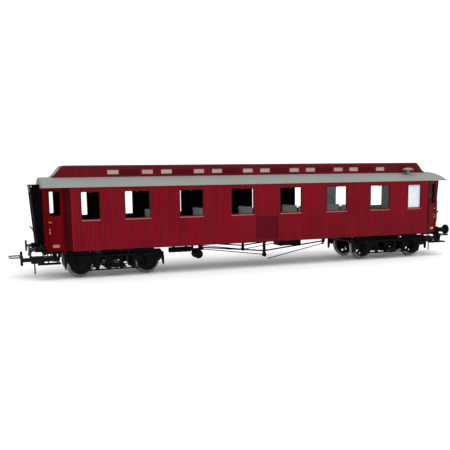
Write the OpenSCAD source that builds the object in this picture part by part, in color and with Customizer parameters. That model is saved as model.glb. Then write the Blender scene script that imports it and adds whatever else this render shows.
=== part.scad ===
// Model railway passenger coach, 1:87, with a clerestory roof, tapered vestibules and two
// four-wheel bogies. X runs along the coach, Z is up, and Z = 0 is the floor under the wheel
// flanges. The origin is on the centre line, midway between the bogies.

/* [Body] */
// Distance between the centres of neighbouring wide windows
window_pitch = 23.84; // [20:0.02:29]
// Last wide window to the narrow end window, centre to centre
narrow_offset = 19.7; // [17:0.1:23]
// Centre of the narrow window to the end of the full-width body
corner_margin = 8; // [7:0.1:10]
// Width over the side walls
body_w = 34; // [30:0.2:41]
// Underside of the body above the floor
body_z = 12.15; // [12:0.05:14]
// Height of the side walls
body_h = 25.95; // [22:0.05:31]
// Thickness of the body walls
wall_t = 1; // [0.8:0.05:1.25]

/* [Windows] */
// Width of a wide window
window_w = 10.7; // [9:0.1:12.8]
// Width of a narrow end window
narrow_w = 7.56; // [6:0.02:9]
// Height of the side windows
window_h = 11.86; // [10:0.02:12.5]
// Window sill above the underside of the body
sill_h = 12.5; // [11:0.05:12.6]
// Thickness of the glass
glass_t = 0.4; // [0.3:0.05:0.5]
// Width of the thin moulding round each window
frame_w = 0.35; // [0.25:0.05:0.5]
// Width of the blank number panel in the middle of each side
panel_w = 10.6; // [8:0.1:12.7]

/* [Vestibules] */
// Length of a vestibule
vestibule_l = 10.2; // [9:0.1:12.2]
// Width of the end wall
end_w = 22; // [20:0.2:24]
// Depth of the corner reveal, measured across the coach
reveal_d = 2.4; // [2:0.1:2.9]
// Length of the corner reveal, measured along the coach
reveal_l = 1.9; // [1.6:0.1:2.3]
// Width of an entrance door
door_w = 6.6; // [6:0.1:7]
// Width of the window in an entrance door
door_window_w = 4.6; // [4:0.1:5]

/* [Roof] */
// Rise of the arched lower roof from its eaves to its crown
roof_rise = 4; // [3.4:0.1:4.8]
// Overhang of the roof past the side walls
eave = 0.3; // [0.2:0.05:0.5]
// Overhang of the roof past the end walls
end_eave = 0.6; // [0.4:0.1:1]
// Thickness of the roof sheet
roof_t = 0.8; // [0.6:0.05:1]
// Width of the clerestory
clerestory_w = 10; // [9:0.1:12]
// Height of the clerestory above the crown of the lower roof
clerestory_h = 4.4; // [4:0.1:5.3]
// Width of a clerestory window
clerestory_window_w = 5; // [4:0.1:5.6]

/* [Bogies] */
// Distance between the axles of a bogie
wheelbase = 28.85; // [24:0.05:34]
// Bogie pivot to the end of the full-width body
bogie_inset = 18.3; // [18:0.1:22]
// Diameter of the wheel tread
tread_d = 10.6; // [8.8:0.1:11]
// Height of the wheel flange
flange_h = 0.7; // [0.5:0.05:0.8]
// Distance between the backs of the wheels on an axle
back_to_back = 14.4; // [14.2:0.1:14.6]
// Width of a wheel
wheel_w = 2.8; // [2.6:0.1:3]
// Diameter of the axle
axle_d = 2; // [1.6:0.1:2.2]
// Number of spokes in a wheel
spokes = 9; // [7:1:11]

/* [Ends] */
// Distance between the two buffers of one end
buffer_spacing = 20.2; // [19:0.1:20.6]
// Height of the buffer centres above the floor
buffer_z = 12.9; // [12.5:0.1:13.2]
// Diameter of a buffer head
buffer_d = 5; // [4.4:0.1:5.4]
// Length of a buffer from the headstock to its face
buffer_l = 5.9; // [5:0.1:7]
// Height of the coupler loop above the floor
loop_z = 9.2; // [9:0.1:9.6]
// Width of the coupler loop over its wire
loop_w = 8.6; // [7.5:0.1:9.4]

/* [Hidden] */
$fn = 48;
fit = 0.05;                 // running clearance on the radius of a pin or journal

body_red = "#7a1621";
dark_red = "#5a0c14";
roof_grey = "#969b96";
black = "#1b1b1d";
steel = "#b8b4b0";

// Lengthways stations, all from the body's windows and margins
window_count = 6;
narrow_x = (window_count - 1) / 2 * window_pitch + narrow_offset;
wide_x = narrow_x + corner_margin;
reveal_x = wide_x + reveal_l;
end_x = wide_x + vestibule_l;
roof_x = end_x + end_eave;
bogie_x = wide_x - bogie_inset;
wide_windows = [for (i = [0 : window_count - 1]) (i - (window_count - 1) / 2) * window_pitch];

// Crossways and upright stations
side_y = body_w / 2;
inner_y = side_y - wall_t;
reveal_y = side_y - reveal_d;
end_y = end_w / 2;
eave_z = body_z + body_h;
sill_z = body_z + sill_h;
roof_y = side_y + eave;
crown_z = eave_z + 0.4 + roof_rise;
roof_r = (roof_y * roof_y + roof_rise * roof_rise) / (2 * roof_rise);
roof_c = crown_z - roof_r;
clerestory_y = clerestory_w / 2;
clerestory_t = 0.7;
clerestory_foot_x = end_x - 4.3;   // where the curved end meets the lower roof
clerestory_top_x = clerestory_foot_x - 5.2;

// Floors
floor_z = body_z + 1.1;            // underside of the floor plate
floor_t = 0.9;
ballast_t = 1;
cabin_z = floor_z + floor_t + ballast_t;
cabin_floor_t = 0.8;
seat_z = cabin_z + cabin_floor_t;

// Underframe
solebar_y = side_y - 3.2;
solebar_z = body_z - 0.6;
beam_t = 1;

// Wheels and bogies
tread_r = tread_d / 2;
flange_r = tread_r + flange_h;
axle_z = flange_r;
wheel_y = back_to_back / 2;
wheel_out_y = wheel_y + wheel_w;
side_frame_y = wheel_out_y + 1.6;
side_frame_t = 1.2;
side_frame_out = side_frame_y + side_frame_t;
chord_z = axle_z + 2.6;
chord_h = 1.1;
chord_l = wheelbase + 10.2;
tie_z = axle_z - 3;
journal_r = 0.6;
pivot_r = 1.6;
bolster_z = chord_z + chord_h;     // top of the bogie frame, where the coach rests
wheelset_x = [bogie_x + wheelbase / 2, bogie_x - wheelbase / 2,
  -bogie_x + wheelbase / 2, -bogie_x - wheelbase / 2];

// Couplers
coupler_x = end_x - 4.4;           // swing pivot
coupler_z = loop_z - 2.6;
coupler_h = 1.8;
coupler_pin_r = 0.8;
loop_r = 0.3;
loop_pivot_x = end_x + 9.4;
loop_l = 5.2;

// Point where the lines p + u*d and q + v*e cross, in plan
function crossing(p, d, q, e) =
  p + d * ((q[0] - p[0]) * e[1] - (q[1] - p[1]) * e[0]) / (d[0] * e[1] - d[1] * e[0]);
function unit(v) = v / norm(v);
function inward(p, q) = let (d = unit(q - p)) [-d[1], d[0]];

// Outline of one vestibule in plan, and the same outline moved in by t
vestibule_out = [[wide_x, -side_y], [reveal_x, -reveal_y], [end_x, -end_y], [end_x, end_y]];
function vestibule_in(t) = let (
    p = vestibule_out,
    a = p[0] + t * inward(p[0], p[1]),
    b = p[1] + t * inward(p[1], p[2]),
    c = p[2] + t * inward(p[2], p[3]))
  [crossing(a, p[1] - p[0], [wide_x, 0], [0, 1]),
   crossing(a, p[1] - p[0], b, p[2] - p[1]),
   crossing(b, p[2] - p[1], c, p[3] - p[2])];
door_angle = atan2(reveal_y - end_y, end_x - reveal_x);
door_line = norm([reveal_y - end_y, end_x - reveal_x]);

module both_sides() { for (s = [0, 1]) mirror([0, s, 0]) children(); }
module both_ends() { for (s = [0, 1]) mirror([s, 0, 0]) children(); }

// Box from corner a to corner b
module box(a, b) { translate(a) cube(b - a); }

// Cylinder along Y, centred on p
module rod_y(p, r, l) { translate(p) rotate([90, 0, 0]) cylinder(r = r, h = l, center = true); }

// Cylinder along X from p
module rod_x(p, r, l) { translate(p) rotate([0, 90, 0]) cylinder(r = r, h = l); }

// Round bar between two points in one upright plane along the coach
module bar(p, q, r) {
  d = q - p;
  translate(p) rotate([0, 90 - atan2(d[2], d[0]), 0]) cylinder(r = r, h = norm(d), $fn = 24);
}

// Plate in the X-Z plane from an outline of [x, z] points, between y0 and y1
module plate_xz(points, y0, y1) {
  translate([0, y1, 0]) rotate([90, 0, 0]) linear_extrude(y1 - y0) polygon(points);
}

// Frame of an entrance door: local X runs outwards along the slanted side, local Y inwards
module on_door_side() {
  translate([reveal_x, -reveal_y, 0]) rotate([0, 0, door_angle]) children();
}

// Rounded window opening, w by h, standing on z, cut through t along Y
module window_cut(x, z, w, h, y0, y1, r = 0.5) {
  translate([x, y1, z]) rotate([90, 0, 0]) linear_extrude(y1 - y0) union() {
    translate([-w / 2, r]) square([w, h - 2 * r]);
    translate([-w / 2 + r, 0]) square([w - 2 * r, h]);
    for (i = [-1, 1], k = [0, 1]) translate([i * (w / 2 - r), k ? h - r : r]) circle(r);
  }
}

// Does something at every side window of one side: $w is the width of the window
module at_windows(narrow = [-1, 1]) {
  for (x = wide_windows) let ($w = window_w) translate([x, 0, 0]) children();
  for (s = narrow) let ($w = narrow_w) translate([s * narrow_x, 0, 0]) children();
}

module side_wall() {
  difference() {
    box([-wide_x, -side_y, body_z], [wide_x, -inner_y, eave_z]);
    at_windows() window_cut(0, sill_z, $w, window_h, -side_y - 1, -inner_y + 1);
  }
}
module side_wall_left() { color(body_red) mirror([0, 1, 0]) side_wall(); }
module side_wall_right() { color(body_red) side_wall(); }

// Raised blank panel in the middle of each side
panel_t = 0.15;
module number_panels() {
  color(dark_red) both_sides()
    box([-panel_w / 2, -side_y - panel_t, body_z + 1.2], [panel_w / 2, -side_y, sill_z - 1]);
}

door_x = (door_line - door_w) / 2;
door_z = body_z + 0.9;
door_h = eave_z - door_z - 1;
door_t = wall_t - 0.3;
door_window_z = sill_z + 2;
door_window_h = window_h - 2;
module vestibule_walls() {
  inner = vestibule_in(wall_t);
  color(dark_red) both_ends() both_sides() difference() {
    translate([0, 0, body_z]) linear_extrude(body_h)
      polygon([vestibule_out[0], vestibule_out[1], vestibule_out[2], inner[2], inner[1], inner[0]]);
    on_door_side() box([door_x, -1, door_z], [door_x + door_w, wall_t + 1, door_z + door_h]);
  }
}

module entrance_doors() {
  color(dark_red) both_ends() both_sides() on_door_side() difference() {
    box([door_x, 0.2, door_z], [door_x + door_w, 0.2 + door_t, door_z + door_h]);
    window_cut(door_line / 2, door_window_z, door_window_w, door_window_h, -1, 2, 0.4);
  }
}

// End wall with its doorway
doorway_y = 3.6;
doorway_h = 23;
doorway_z = body_z + 1.8;
module end_walls() {
  inner = vestibule_in(wall_t)[2];
  color(dark_red) both_ends() difference() {
    translate([0, 0, body_z]) linear_extrude(body_h)
      polygon([vestibule_out[2], vestibule_out[3], [inner[0], -inner[1]], inner]);
    box([0, -doorway_y, doorway_z], [roof_x, doorway_y, doorway_z + doorway_h]);
  }
}
module end_doors() {
  color(dark_red) both_ends() difference() {
    box([end_x - wall_t + 0.15, -doorway_y, doorway_z], [end_x - 0.15, doorway_y, doorway_z + doorway_h]);
    box([end_x - 2, -2, sill_z + 1], [end_x + 1, 2, sill_z + window_h - 1]);
  }
}

// Thin moulding round each window, proud of the wall
frame_proud = 0.12;
module window_frames() {
  color("#8a5a4a") both_sides() at_windows() difference() {
    window_cut(0, sill_z - frame_w, $w + 2 * frame_w, window_h + 2 * frame_w,
      -side_y - frame_proud, -side_y, 0.7);
    window_cut(0, sill_z, $w, window_h, -side_y - 1, -side_y + 1);
  }
}

// Panes set in the window openings, flush with the inside of the wall
module pane(w) { window_cut(0, sill_z, w, window_h, -inner_y - glass_t, -inner_y); }
module window_glass() {
  color([0.85, 0.9, 0.92, 0.3]) {
    mirror([0, 1, 0]) at_windows() pane($w);
    at_windows([-1]) pane($w);
    both_ends() both_sides() on_door_side()
      window_cut(door_line / 2, door_window_z, door_window_w, door_window_h,
        door_t - glass_t + 0.15, door_t + 0.15, 0.4);
  }
}
module frosted_window() { color("white") translate([narrow_x, 0, 0]) pane(narrow_w); }

// Plan outline of the inside of the body
module inside_plan(gap) {
  inner = vestibule_in(wall_t + gap);
  y = inner_y - gap;
  half = [[wide_x, -y], [wide_x, inner[0][1]], inner[1], inner[2]];
  right = concat(half, [for (i = [3 : -1 : 0]) [half[i][0], -half[i][1]]]);
  polygon(concat(right, [for (i = [7 : -1 : 0]) [-right[i][0], right[i][1]]]));
}
module floor_plate() {
  color("#2a2a2c") difference() {
    translate([0, 0, floor_z]) linear_extrude(floor_t) inside_plan(0);
    both_ends() translate([bogie_x, 0, 0]) cylinder(r = pivot_r, h = eave_z);
  }
}

// Steel plate that gives the coach its weight
ballast_l = 2 * (bogie_x - 8);
module ballast_plate() {
  color("#777a7c") translate([0, 0, floor_z + floor_t + ballast_t / 2])
    cube([ballast_l, 20, ballast_t], center = true);
}
module cabin_floor() {
  color("#6b6660") difference() {
    translate([0, 0, floor_z + floor_t]) linear_extrude(ballast_t + cabin_floor_t) inside_plan(0.1);
    box([-ballast_l / 2, -10, 0], [ballast_l / 2, 10, cabin_z]);
  }
}

// Back-to-back benches at the window pillars, on both sides of the aisle
seat_h = 5.2;
seat_l = 5.4;
back_h = 10.2;
back_t = 1.2;
aisle_y = 3.2;
module bench_half(dir) {
  plate_xz([for (p = [[0, 0], [back_t + seat_l, 0], [back_t + seat_l, seat_h], [back_t, seat_h - 0.5],
    [back_t, back_h], [0, back_h]]) [dir * p[0], seat_z + p[1]]], -inner_y + 0.8, -aisle_y);
}
module seats() {
  pillars = [for (i = [1 : window_count - 1]) (i - window_count / 2) * window_pitch];
  color("#6e7072") for (s = [0, 1]) mirror([0, s, 0]) {
    for (x = pillars) translate([x, 0, 0]) { bench_half(1); bench_half(-1); }
  }
}

// Cross partitions at the ends of the saloon, and the lavatory beside the frosted window
partition_t = 0.8;
saloon_x = window_count / 2 * window_pitch + 0.4;
module partitions() {
  top = eave_z - 0.3;
  y0 = -inner_y + 0.5;
  y1 = -aisle_y + 2.4;
  x1 = wide_x - 0.2;
  color("#55504c") {
    box([saloon_x, y0, seat_z], [saloon_x + partition_t, y1, top]);
    box([saloon_x, y1 - partition_t, seat_z], [x1, y1, top]);
    box([x1 - partition_t, y0, seat_z], [x1, y1, top]);
    box([x1 - partition_t, aisle_y, seat_z], [x1, -y0, top]);
    both_sides() box([-x1, y0, seat_z], [-x1 + partition_t, -aisle_y, top]);
  }
}

// Solebars, bogie bolsters, end frames and headstocks
end_frame_x = end_x - 6.3;
end_frame_y = 9.6;
beam_y = 12.2;
module underframe() {
  color(black) {
    both_sides()
      box([-wide_x + 1, -solebar_y, solebar_z], [wide_x - 1, -solebar_y + 1.2, floor_z]);
    both_ends() {
      box([bogie_x - 2.6, -solebar_y + 1.2, solebar_z + 0.4], [bogie_x + 2.6, solebar_y - 1.2, floor_z]);
      translate([bogie_x, 0, bolster_z + fit]) cylinder(r = 4, h = solebar_z + 1 - bolster_z);
      translate([bogie_x, 0, chord_z - 1.2]) cylinder(r = pivot_r, h = 4);
      box([end_frame_x, -end_frame_y, body_z - 1.5], [end_x, end_frame_y, body_z]);
      box([end_frame_x, -end_frame_y, body_z - 1], [end_x - wall_t - 0.5, end_frame_y, floor_z]);
      box([end_x, -beam_y, buffer_z - 2.4], [end_x + beam_t, beam_y, buffer_z + 1.3]);
      translate([coupler_x, 0, coupler_z - 0.3]) cylinder(r = coupler_pin_r, h = 6);
    }
  }
}

// Plan outline of the outside of the body walls
module outside_plan() {
  right = concat(vestibule_out, [for (i = [1 : -1 : 0]) [vestibule_out[i][0], -vestibule_out[i][1]]]);
  polygon(concat(right, [for (p = right) -p]));
}

// Lower roof: an arched sheet, solid over the walls and past them
module arch(r, l) {
  intersection() {
    rod_x([-l, 0, roof_c], r, 2 * l);
    box([-l, -roof_y, eave_z], [l, roof_y, crown_z + 1]);
  }
}
module lower_roof() {
  color(roof_grey) difference() {
    arch(roof_r, roof_x);
    intersection() {
      arch(roof_r - roof_t, roof_x);
      linear_extrude(2 * eave_z) outside_plan();
    }
    box([-clerestory_top_x, -clerestory_y + clerestory_t, 0],
      [clerestory_top_x, clerestory_y - clerestory_t, 2 * eave_z]);
  }
}

// Side outline of the clerestory, t inside its outer surface; the ends fall in an S-curve
clerestory_steps = 12;
function s_curve(t) = t * t * (3 - 2 * t);
function clerestory_end(t) = [for (i = [0 : clerestory_steps]) let (k = i / clerestory_steps)
  [clerestory_foot_x - t + (clerestory_top_x - clerestory_foot_x) * k,
   crown_z - t + clerestory_h * s_curve(k)]];
module clerestory_side(t, y0, y1) {
  e = clerestory_end(t);
  left = [for (i = [clerestory_steps : -1 : 0]) [-e[i][0], e[i][1]]];
  plate_xz(concat([[clerestory_foot_x - t, crown_z - 2]], e, left,
    [[t - clerestory_foot_x, crown_z - 2]]), y0, y1);
}
clerestory_sheet = 0.4;
clerestory_window_x = window_pitch / 2 - 4.32;
clerestory_window_z = crown_z + 0.8;
clerestory_window_h = 1.9;
module at_clerestory_windows() {
  for (x = wide_windows, s = [-1, 1]) translate([x + s * clerestory_window_x, 0, 0]) children();
}
module clerestory_walls() {
  color(body_red) both_sides() difference() {
    clerestory_side(clerestory_sheet, -clerestory_y, -clerestory_y + clerestory_t);
    rod_x([-roof_x, 0, roof_c], roof_r, 2 * roof_x);
    at_clerestory_windows() window_cut(0, clerestory_window_z, clerestory_window_w,
      clerestory_window_h, -clerestory_y - 1, -clerestory_y + 2, 0.2);
  }
}
clerestory_eave = 0.25;
module clerestory_roof() {
  y = clerestory_y + clerestory_eave;
  color(roof_grey) difference() {
    clerestory_side(0, -y, y);
    clerestory_side(clerestory_sheet, -y - 1, y + 1);
    rod_x([-roof_x, 0, roof_c], roof_r, 2 * roof_x);
  }
}
module clerestory_glass() {
  color("#d8dcda") both_sides() at_clerestory_windows() window_cut(0, clerestory_window_z,
    clerestory_window_w, clerestory_window_h, -clerestory_y + 0.15, -clerestory_y + 0.5, 0.2);
}
// Blank ventilator flap between the two windows of each clerestory bay
flap_w = 2 * (clerestory_window_x - clerestory_window_w / 2 - 0.8);
module clerestory_louvres() {
  y = -clerestory_y;
  color(dark_red) both_sides() for (x = wide_windows) translate([x, 0, 0]) {
    box([-flap_w / 2, y - 0.15, clerestory_window_z - 0.2], [flap_w / 2, y, clerestory_window_z + 2.1]);
  }
}

// Mushroom ventilator over the lavatory
vent_x = narrow_x + 1.3;
vent_y = -9.4;
vent_r = 2.6;
module roof_vent() {
  foot = roof_c + sqrt(roof_r * roof_r - pow(vent_y + 0.9, 2)) - 0.5;
  color("#8a8f8a") difference() {
    translate([vent_x, vent_y, 0]) rotate_extrude() polygon([[0, foot - 1], [0.9, foot - 1],
      [0.9, crown_z + 0.9], [vent_r, crown_z + 1], [vent_r, crown_z + 1.4],
      [1.7, crown_z + 1.95], [0, crown_z + 2.1]]);
    rod_x([0, 0, roof_c], roof_r, roof_x);
  }
}

// Gangways: a bellows on the end wall behind a frame that leans outwards at the top
gangway_y = 5.6;
gangway_z = buffer_z + 1.6;
gangway_top = eave_z + 0.9;
lean_foot = 2.6;
lean_top = 4.2;
module gangway_passage(h) { box([end_x - 1, -4.2, 0], [end_x + 9, 4.2, h]); }
module gangway_bellows() {
  color("#101011") both_ends() difference() {
    plate_xz([for (p = [[0, gangway_z], [lean_foot, gangway_z], [lean_top, gangway_top],
      [end_eave + 0.2, gangway_top], [end_eave + 0.2, eave_z - 0.2], [0, eave_z - 0.2]])
      [end_x + p[0], p[1]]], -gangway_y, gangway_y);
    gangway_passage(gangway_top - 2.4);
  }
}
frame_t = 0.6;
module gangway_frames() {
  y = gangway_y + 0.3;
  color(black) both_ends() {
    difference() {
      plate_xz([for (p = [[lean_foot, gangway_z], [lean_foot + frame_t, gangway_z],
        [lean_top + frame_t, gangway_top], [lean_top + 0.9, gangway_top + 0.5],
        [end_eave + 0.3, gangway_top + 0.5], [end_eave + 0.3, gangway_top],
        [lean_top, gangway_top]]) [end_x + p[0], p[1]]], -y, y);
      gangway_passage(gangway_top - 2.6);
    }
    translate([0, -y + 0.5, 0])
      bar([end_x + lean_foot + 0.6, 0, 19.6], [end_x + lean_foot + 2.8, 0, 22.2], 0.25);
  }
}

// Buffers
module buffer_housings() {
  color(black) both_ends() both_sides() {
    p = [end_x + beam_t, -buffer_spacing / 2, buffer_z];
    rod_x(p, 1.7, 0.5);
    rod_x(p, 1.15, 3.2);
  }
}
head_t = 0.7;
module buffer_heads() {
  color("#242426") both_ends() both_sides() {
    p = [end_x + beam_t, -buffer_spacing / 2, buffer_z];
    rod_x(p + [3.2, 0, 0], 0.65, buffer_l - 3.2 - head_t);
    rod_x(p + [buffer_l - head_t, 0, 0], buffer_d / 2, head_t);
  }
}

// Step boards on slanting hangers under the vestibules
step_z = 6.7;
step_t = 0.6;
step_y = 2.8 - side_y;
step_w = 2.6;
hanger_x = [end_x - 4.2, end_x - 0.7];
module step_boards() {
  top = body_z - 0.6;
  foot_y = step_y + step_w / 2;
  color(black) both_ends() both_sides() {
    box([end_x - 5.6, step_y, step_z], [end_x + 3.6, step_y + step_w, step_z + step_t]);
    for (x = hanger_x) translate([x, 0, 0]) rotate([0, 0, 90])
      plate_xz([[-end_frame_y, top - 0.6], [-end_frame_y, top], [foot_y, step_z + step_t],
        [foot_y + 0.8, step_z + step_t]], -0.25, 0.25);
  }
}

// Truss rods under the solebars, each with its king post
truss_x = bogie_x - 38;
truss_z = 7.5;
truss_y = -solebar_y + 0.6;
king_z = 4.8;
module truss_rods() {
  color(black) both_sides() translate([0, truss_y, 0]) {
    box([-0.55, -0.5, king_z + 0.6], [0.55, 0.5, solebar_z]);
    rod_y([0, 0, king_z + 0.9], 0.9, 1.4);
    for (s = [-1, 1]) {
      bar([0, 0, truss_z], [s * truss_x, 0, solebar_z - 0.9], 0.32);
      box([s * truss_x - 0.5, -0.5, solebar_z - 1.4], [s * truss_x + 0.5, 0.5, solebar_z]);
    }
  }
}

// Battery box, and the gear that hangs between the solebar and the centre line
battery_x = 8.5;
battery_l = 11;
module battery_box() {
  color("#202022") box([battery_x, 1.8 - solebar_y, 9.2], [battery_x + battery_l, -5, floor_z]);
}

gear_y = 4.8 - solebar_y;
dynamo_x = truss_x + 0.2;
dynamo_r = 1.9;
module dynamo() {
  color(black) {
    rod_y([-dynamo_x, gear_y, 7.4], dynamo_r, 5.6);
    box([-dynamo_x - 2.8, gear_y - 1, 9], [-dynamo_x + 2.8, gear_y + 1, 9.9]);
    for (x = [-dynamo_x - 2.6, -dynamo_x + 1.8])
      box([x, gear_y - 0.5, 9.8], [x + 0.8, gear_y + 0.5, floor_z]);
  }
}

tank_x = dynamo_x + 3;                        // end beside the dynamo
tank_end = bogie_x - chord_l / 2 - 5.275;     // end that the bogie clears when it swivels
tank_r = 1.2;
module gas_tank() {
  color(black) {
    rod_x([-tank_end, gear_y, 9.7], tank_r, tank_end - tank_x);
    for (x = [-tank_end + 2, -tank_x - 2.3])
      box([x - 0.4, gear_y - 0.5, 10.3], [x + 0.4, gear_y + 0.5, floor_z]);
  }
}

// Thin pull rods below the truss; the one at the right front hangs free at its lower end
rod_x0 = truss_x + 0.2;
module brake_rods() {
  color(black) {
    for (s = [-1, 1]) translate([0, s * (truss_y + 1.1), 0]) {
      bar([-rod_x0, 0, 9.9], [-0.9, 0, king_z + 1], 0.2);
      box([-rod_x0 - 0.4, -0.4, 9.6], [-rod_x0 + 0.4, 0.4, floor_z]);
    }
    translate([0, -truss_y - 1.1, 0]) bar([rod_x0, 0, 9.9], [0.9, 0, king_z + 1], 0.2);
    translate([0, truss_y + 1.1, 0]) bar([rod_x0, 0, 9.3], [2.2, 0, 3.6], 0.2);
    for (s = [-1, 1]) translate([0, s * (truss_y + 1.1), 0])
      box([rod_x0 - 0.4, -0.4, 9], [rod_x0 + 0.4, 0.4, floor_z]);
  }
}

// Brake hoses beside the couplers
hose_r = 0.35;
module brake_hoses() {
  color("#141414") both_ends() both_sides()
    translate([end_x + beam_t, -4.9, buffer_z - 0.9]) {
      rod_x([0, 0, 0], hose_r, 3.4);
      translate([3.4, 0, -1.4]) rotate([90, 0, 0])
        rotate_extrude(angle = 90) translate([1.4, 0]) circle(hose_r, $fn = 20);
      translate([4.8, 0, -2.6]) cylinder(r = hose_r, h = 1.2, $fn = 20);
      translate([4.8, 0, -3]) cylinder(r = 0.55, h = 0.7, $fn = 20);
    }
}

// Oval blank plate low on each entrance door
module end_plates() {
  color("#d9cfae") both_ends() both_sides() on_door_side()
    translate([door_line / 2, 0.2, body_z + 2]) rotate([90, 0, 0]) linear_extrude(0.3) union() {
      square([1.8, 1.2], center = true);
      for (s = [-0.9, 0.9]) translate([s, 0]) circle(0.6);
    }
}

// One bogie, centred on its own pivot
half_base = wheelbase / 2;
transom_x = half_base - flange_r - 2.325;     // clear of the wheel flanges
module side_frame() {
  y0 = -side_frame_out;
  y1 = -side_frame_y;
  top = chord_z + chord_h;
  box([-chord_l / 2, y0, chord_z], [chord_l / 2, y1, top]);
  box([-half_base - 1.5, y0 + 0.3, tie_z], [half_base + 1.5, y1 - 0.3, tie_z + 0.55]);
  for (x = [-7.8, -2.6, 2.6, 7.8]) box([x - 0.75, y0 + 0.1, tie_z], [x + 0.75, y1, top]);
  for (s = [-1, 1]) {
    translate([s * half_base, 0, 0]) plate_xz([[-3.4, chord_z], [-2.3, tie_z], [2.3, tie_z],
      [3.4, chord_z], [3.4, top], [-3.4, top]], y0, y1);
    plate_xz([for (p = [[-1, top], [1.7, top], [1.9, axle_z + 0.5], [1.7, tie_z + 0.9],
      [1.4, tie_z + 0.9], [0.8, axle_z + 0.5], [0, chord_z], [-1, chord_z]])
      [s * (chord_l / 2 + p[0]), p[1]]], y0, y1);
  }
}
module bogie_frame() {
  top = chord_z + chord_h;
  color(black) difference() {
    union() {
      both_sides() side_frame();
      for (s = [-1, 1]) {
        box([s * transom_x - 0.9, -side_frame_y, chord_z],
          [s * transom_x + 0.9, side_frame_y, top]);
        box([s * (chord_l / 2 + 0.9) - 0.5, -side_frame_y, chord_z],
          [s * (chord_l / 2 + 0.9) + 0.5, side_frame_y, top - 0.1]);
      }
      box([-transom_x, -4, chord_z], [transom_x, 4, top]);
    }
    translate([0, 0, chord_z - 1]) cylinder(r = pivot_r + fit, h = chord_h + 2);
    for (s = [-1, 1]) rod_y([s * half_base, 0, axle_z], journal_r + fit, 2 * side_frame_out + 1);
  }
}
module axle_boxes() {
  y = -side_frame_out;
  color("#222325") both_sides() for (s = [-1, 1]) translate([s * half_base, 0, 0]) {
    box([-1.85, y - 1.1, axle_z - 1.9], [1.85, y, axle_z + 1.9]);
    rod_y([0, y - 1.35, axle_z], 1.1, 0.5);
  }
}
// Leaf springs over the axle boxes, and the bolster springs in the middle of each side
module leaves(z, l, up) {
  for (i = [0 : 3]) box([-l / 2 + i * l / 9, 0, z + up * i * 0.42 - 0.21],
    [l / 2 - i * l / 9, 0.9, z + up * i * 0.42 + 0.21]);
}
module bogie_springs() {
  color("#262628") both_sides() translate([0, -side_frame_out - 0.9, 0]) {
    for (s = [-1, 1]) translate([s * half_base, 0, 0]) leaves(chord_z + 0.75, 10.4, -0.9);
    leaves(tie_z + 1.2, 8.4, 1);
  }
}
// Brake shoes against the treads, hung from the transoms
shoe_gap = 0.35;
shoe_x = half_base - tread_r - 1.425;
shoe_hanger_x = transom_x + 0.3;
module brake_blocks() {
  y = 0.2 - wheel_out_y;
  color("#1f1f20") both_sides() for (s = [-1, 1]) difference() {
    union() {
      box([s * shoe_x - 1.5, y, axle_z - 2], [s * shoe_x + 1.5, y + 1.6, axle_z + 1.6]);
      box([s * shoe_hanger_x - 0.4, y + 0.3, axle_z], [s * shoe_hanger_x + 0.4, y + 1.3, chord_z]);
    }
    rod_y([s * half_base, 0, axle_z], tread_r + shoe_gap, 3 * wheel_out_y);
  }
}

// A wheelset: spoked centres on the axle, and the tyres round them
rim_r = tread_r - 0.9;
web_t = 1.7;
module wheels() {
  color("#2a2b2d") translate([0, 0, axle_z]) {
    rod_y([0, 0, 0], axle_d / 2, 2 * side_frame_y - 0.6);
    rod_y([0, 0, 0], journal_r, 2 * side_frame_out - 0.2);
    both_sides() translate([0, -wheel_y - 0.4, 0]) rotate([90, 0, 0]) {
      cylinder(r = 1.4, h = 2.2);
      difference() {
        cylinder(r = rim_r, h = web_t);
        translate([0, 0, -1]) cylinder(r = rim_r - 0.75, h = 9);
      }
      for (i = [0 : spokes - 1]) rotate(i * 360 / spokes)
        translate([0, -0.35, 0.3]) cube([rim_r - 0.4, 0.7, 1.1]);
    }
  }
}
module tyres() {
  color(steel) translate([0, 0, axle_z]) both_sides() translate([0, -wheel_y, 0]) rotate([90, 0, 0])
    rotate_extrude($fn = 90) polygon([[rim_r, 0], [flange_r - 0.25, 0], [flange_r, 0.25],
      [flange_r, 0.45], [tread_r + 0.15, 0.75], [tread_r, 1], [tread_r, wheel_w - 0.2],
      [tread_r - 0.2, wheel_w], [rim_r, wheel_w]]);
}

// Coupler: an arm on the swing pivot, its pocket, and the hook plate with the loop's barrel
head_x = loop_pivot_x - 0.5;
module coupler() {
  color(black) difference() {
    union() {
      translate([coupler_x, 0, coupler_z]) cylinder(r = 1.9, h = coupler_h);
      box([coupler_x, -1.5, coupler_z], [end_x + 0.2, 1.5, coupler_z + coupler_h]);
      box([end_x, -2.1, coupler_z - 0.6], [end_x + 5.4, 2.1, coupler_z + coupler_h + 0.4]);
      box([end_x + 5, -1.3, coupler_z + 0.2], [head_x, 1.3, coupler_z + coupler_h]);
      translate([head_x, 0, 0]) rotate([0, 0, 90]) plate_xz([[-1.9, 5.4], [1.9, 5.4],
        [2.5, loop_z - 0.9], [2.5, loop_z + 0.7], [0.7, loop_z + 0.7], [0.7, loop_z + 2.2],
        [-0.7, loop_z + 2.2], [-0.7, loop_z + 0.7], [-2.5, loop_z + 0.7], [-2.5, loop_z - 0.9]], -0.9, 0.1);
      rod_y([loop_pivot_x, 0, loop_z], 0.75, 5);
      translate([end_x + 4, 0, 1.3]) cylinder(r = 0.3, h = coupler_z - 1.5, $fn = 20);
    }
    translate([coupler_x, 0, 0]) cylinder(r = coupler_pin_r + fit, h = 20);
    rod_y([loop_pivot_x, 0, loop_z], loop_r + fit, 20);
  }
}
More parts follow.
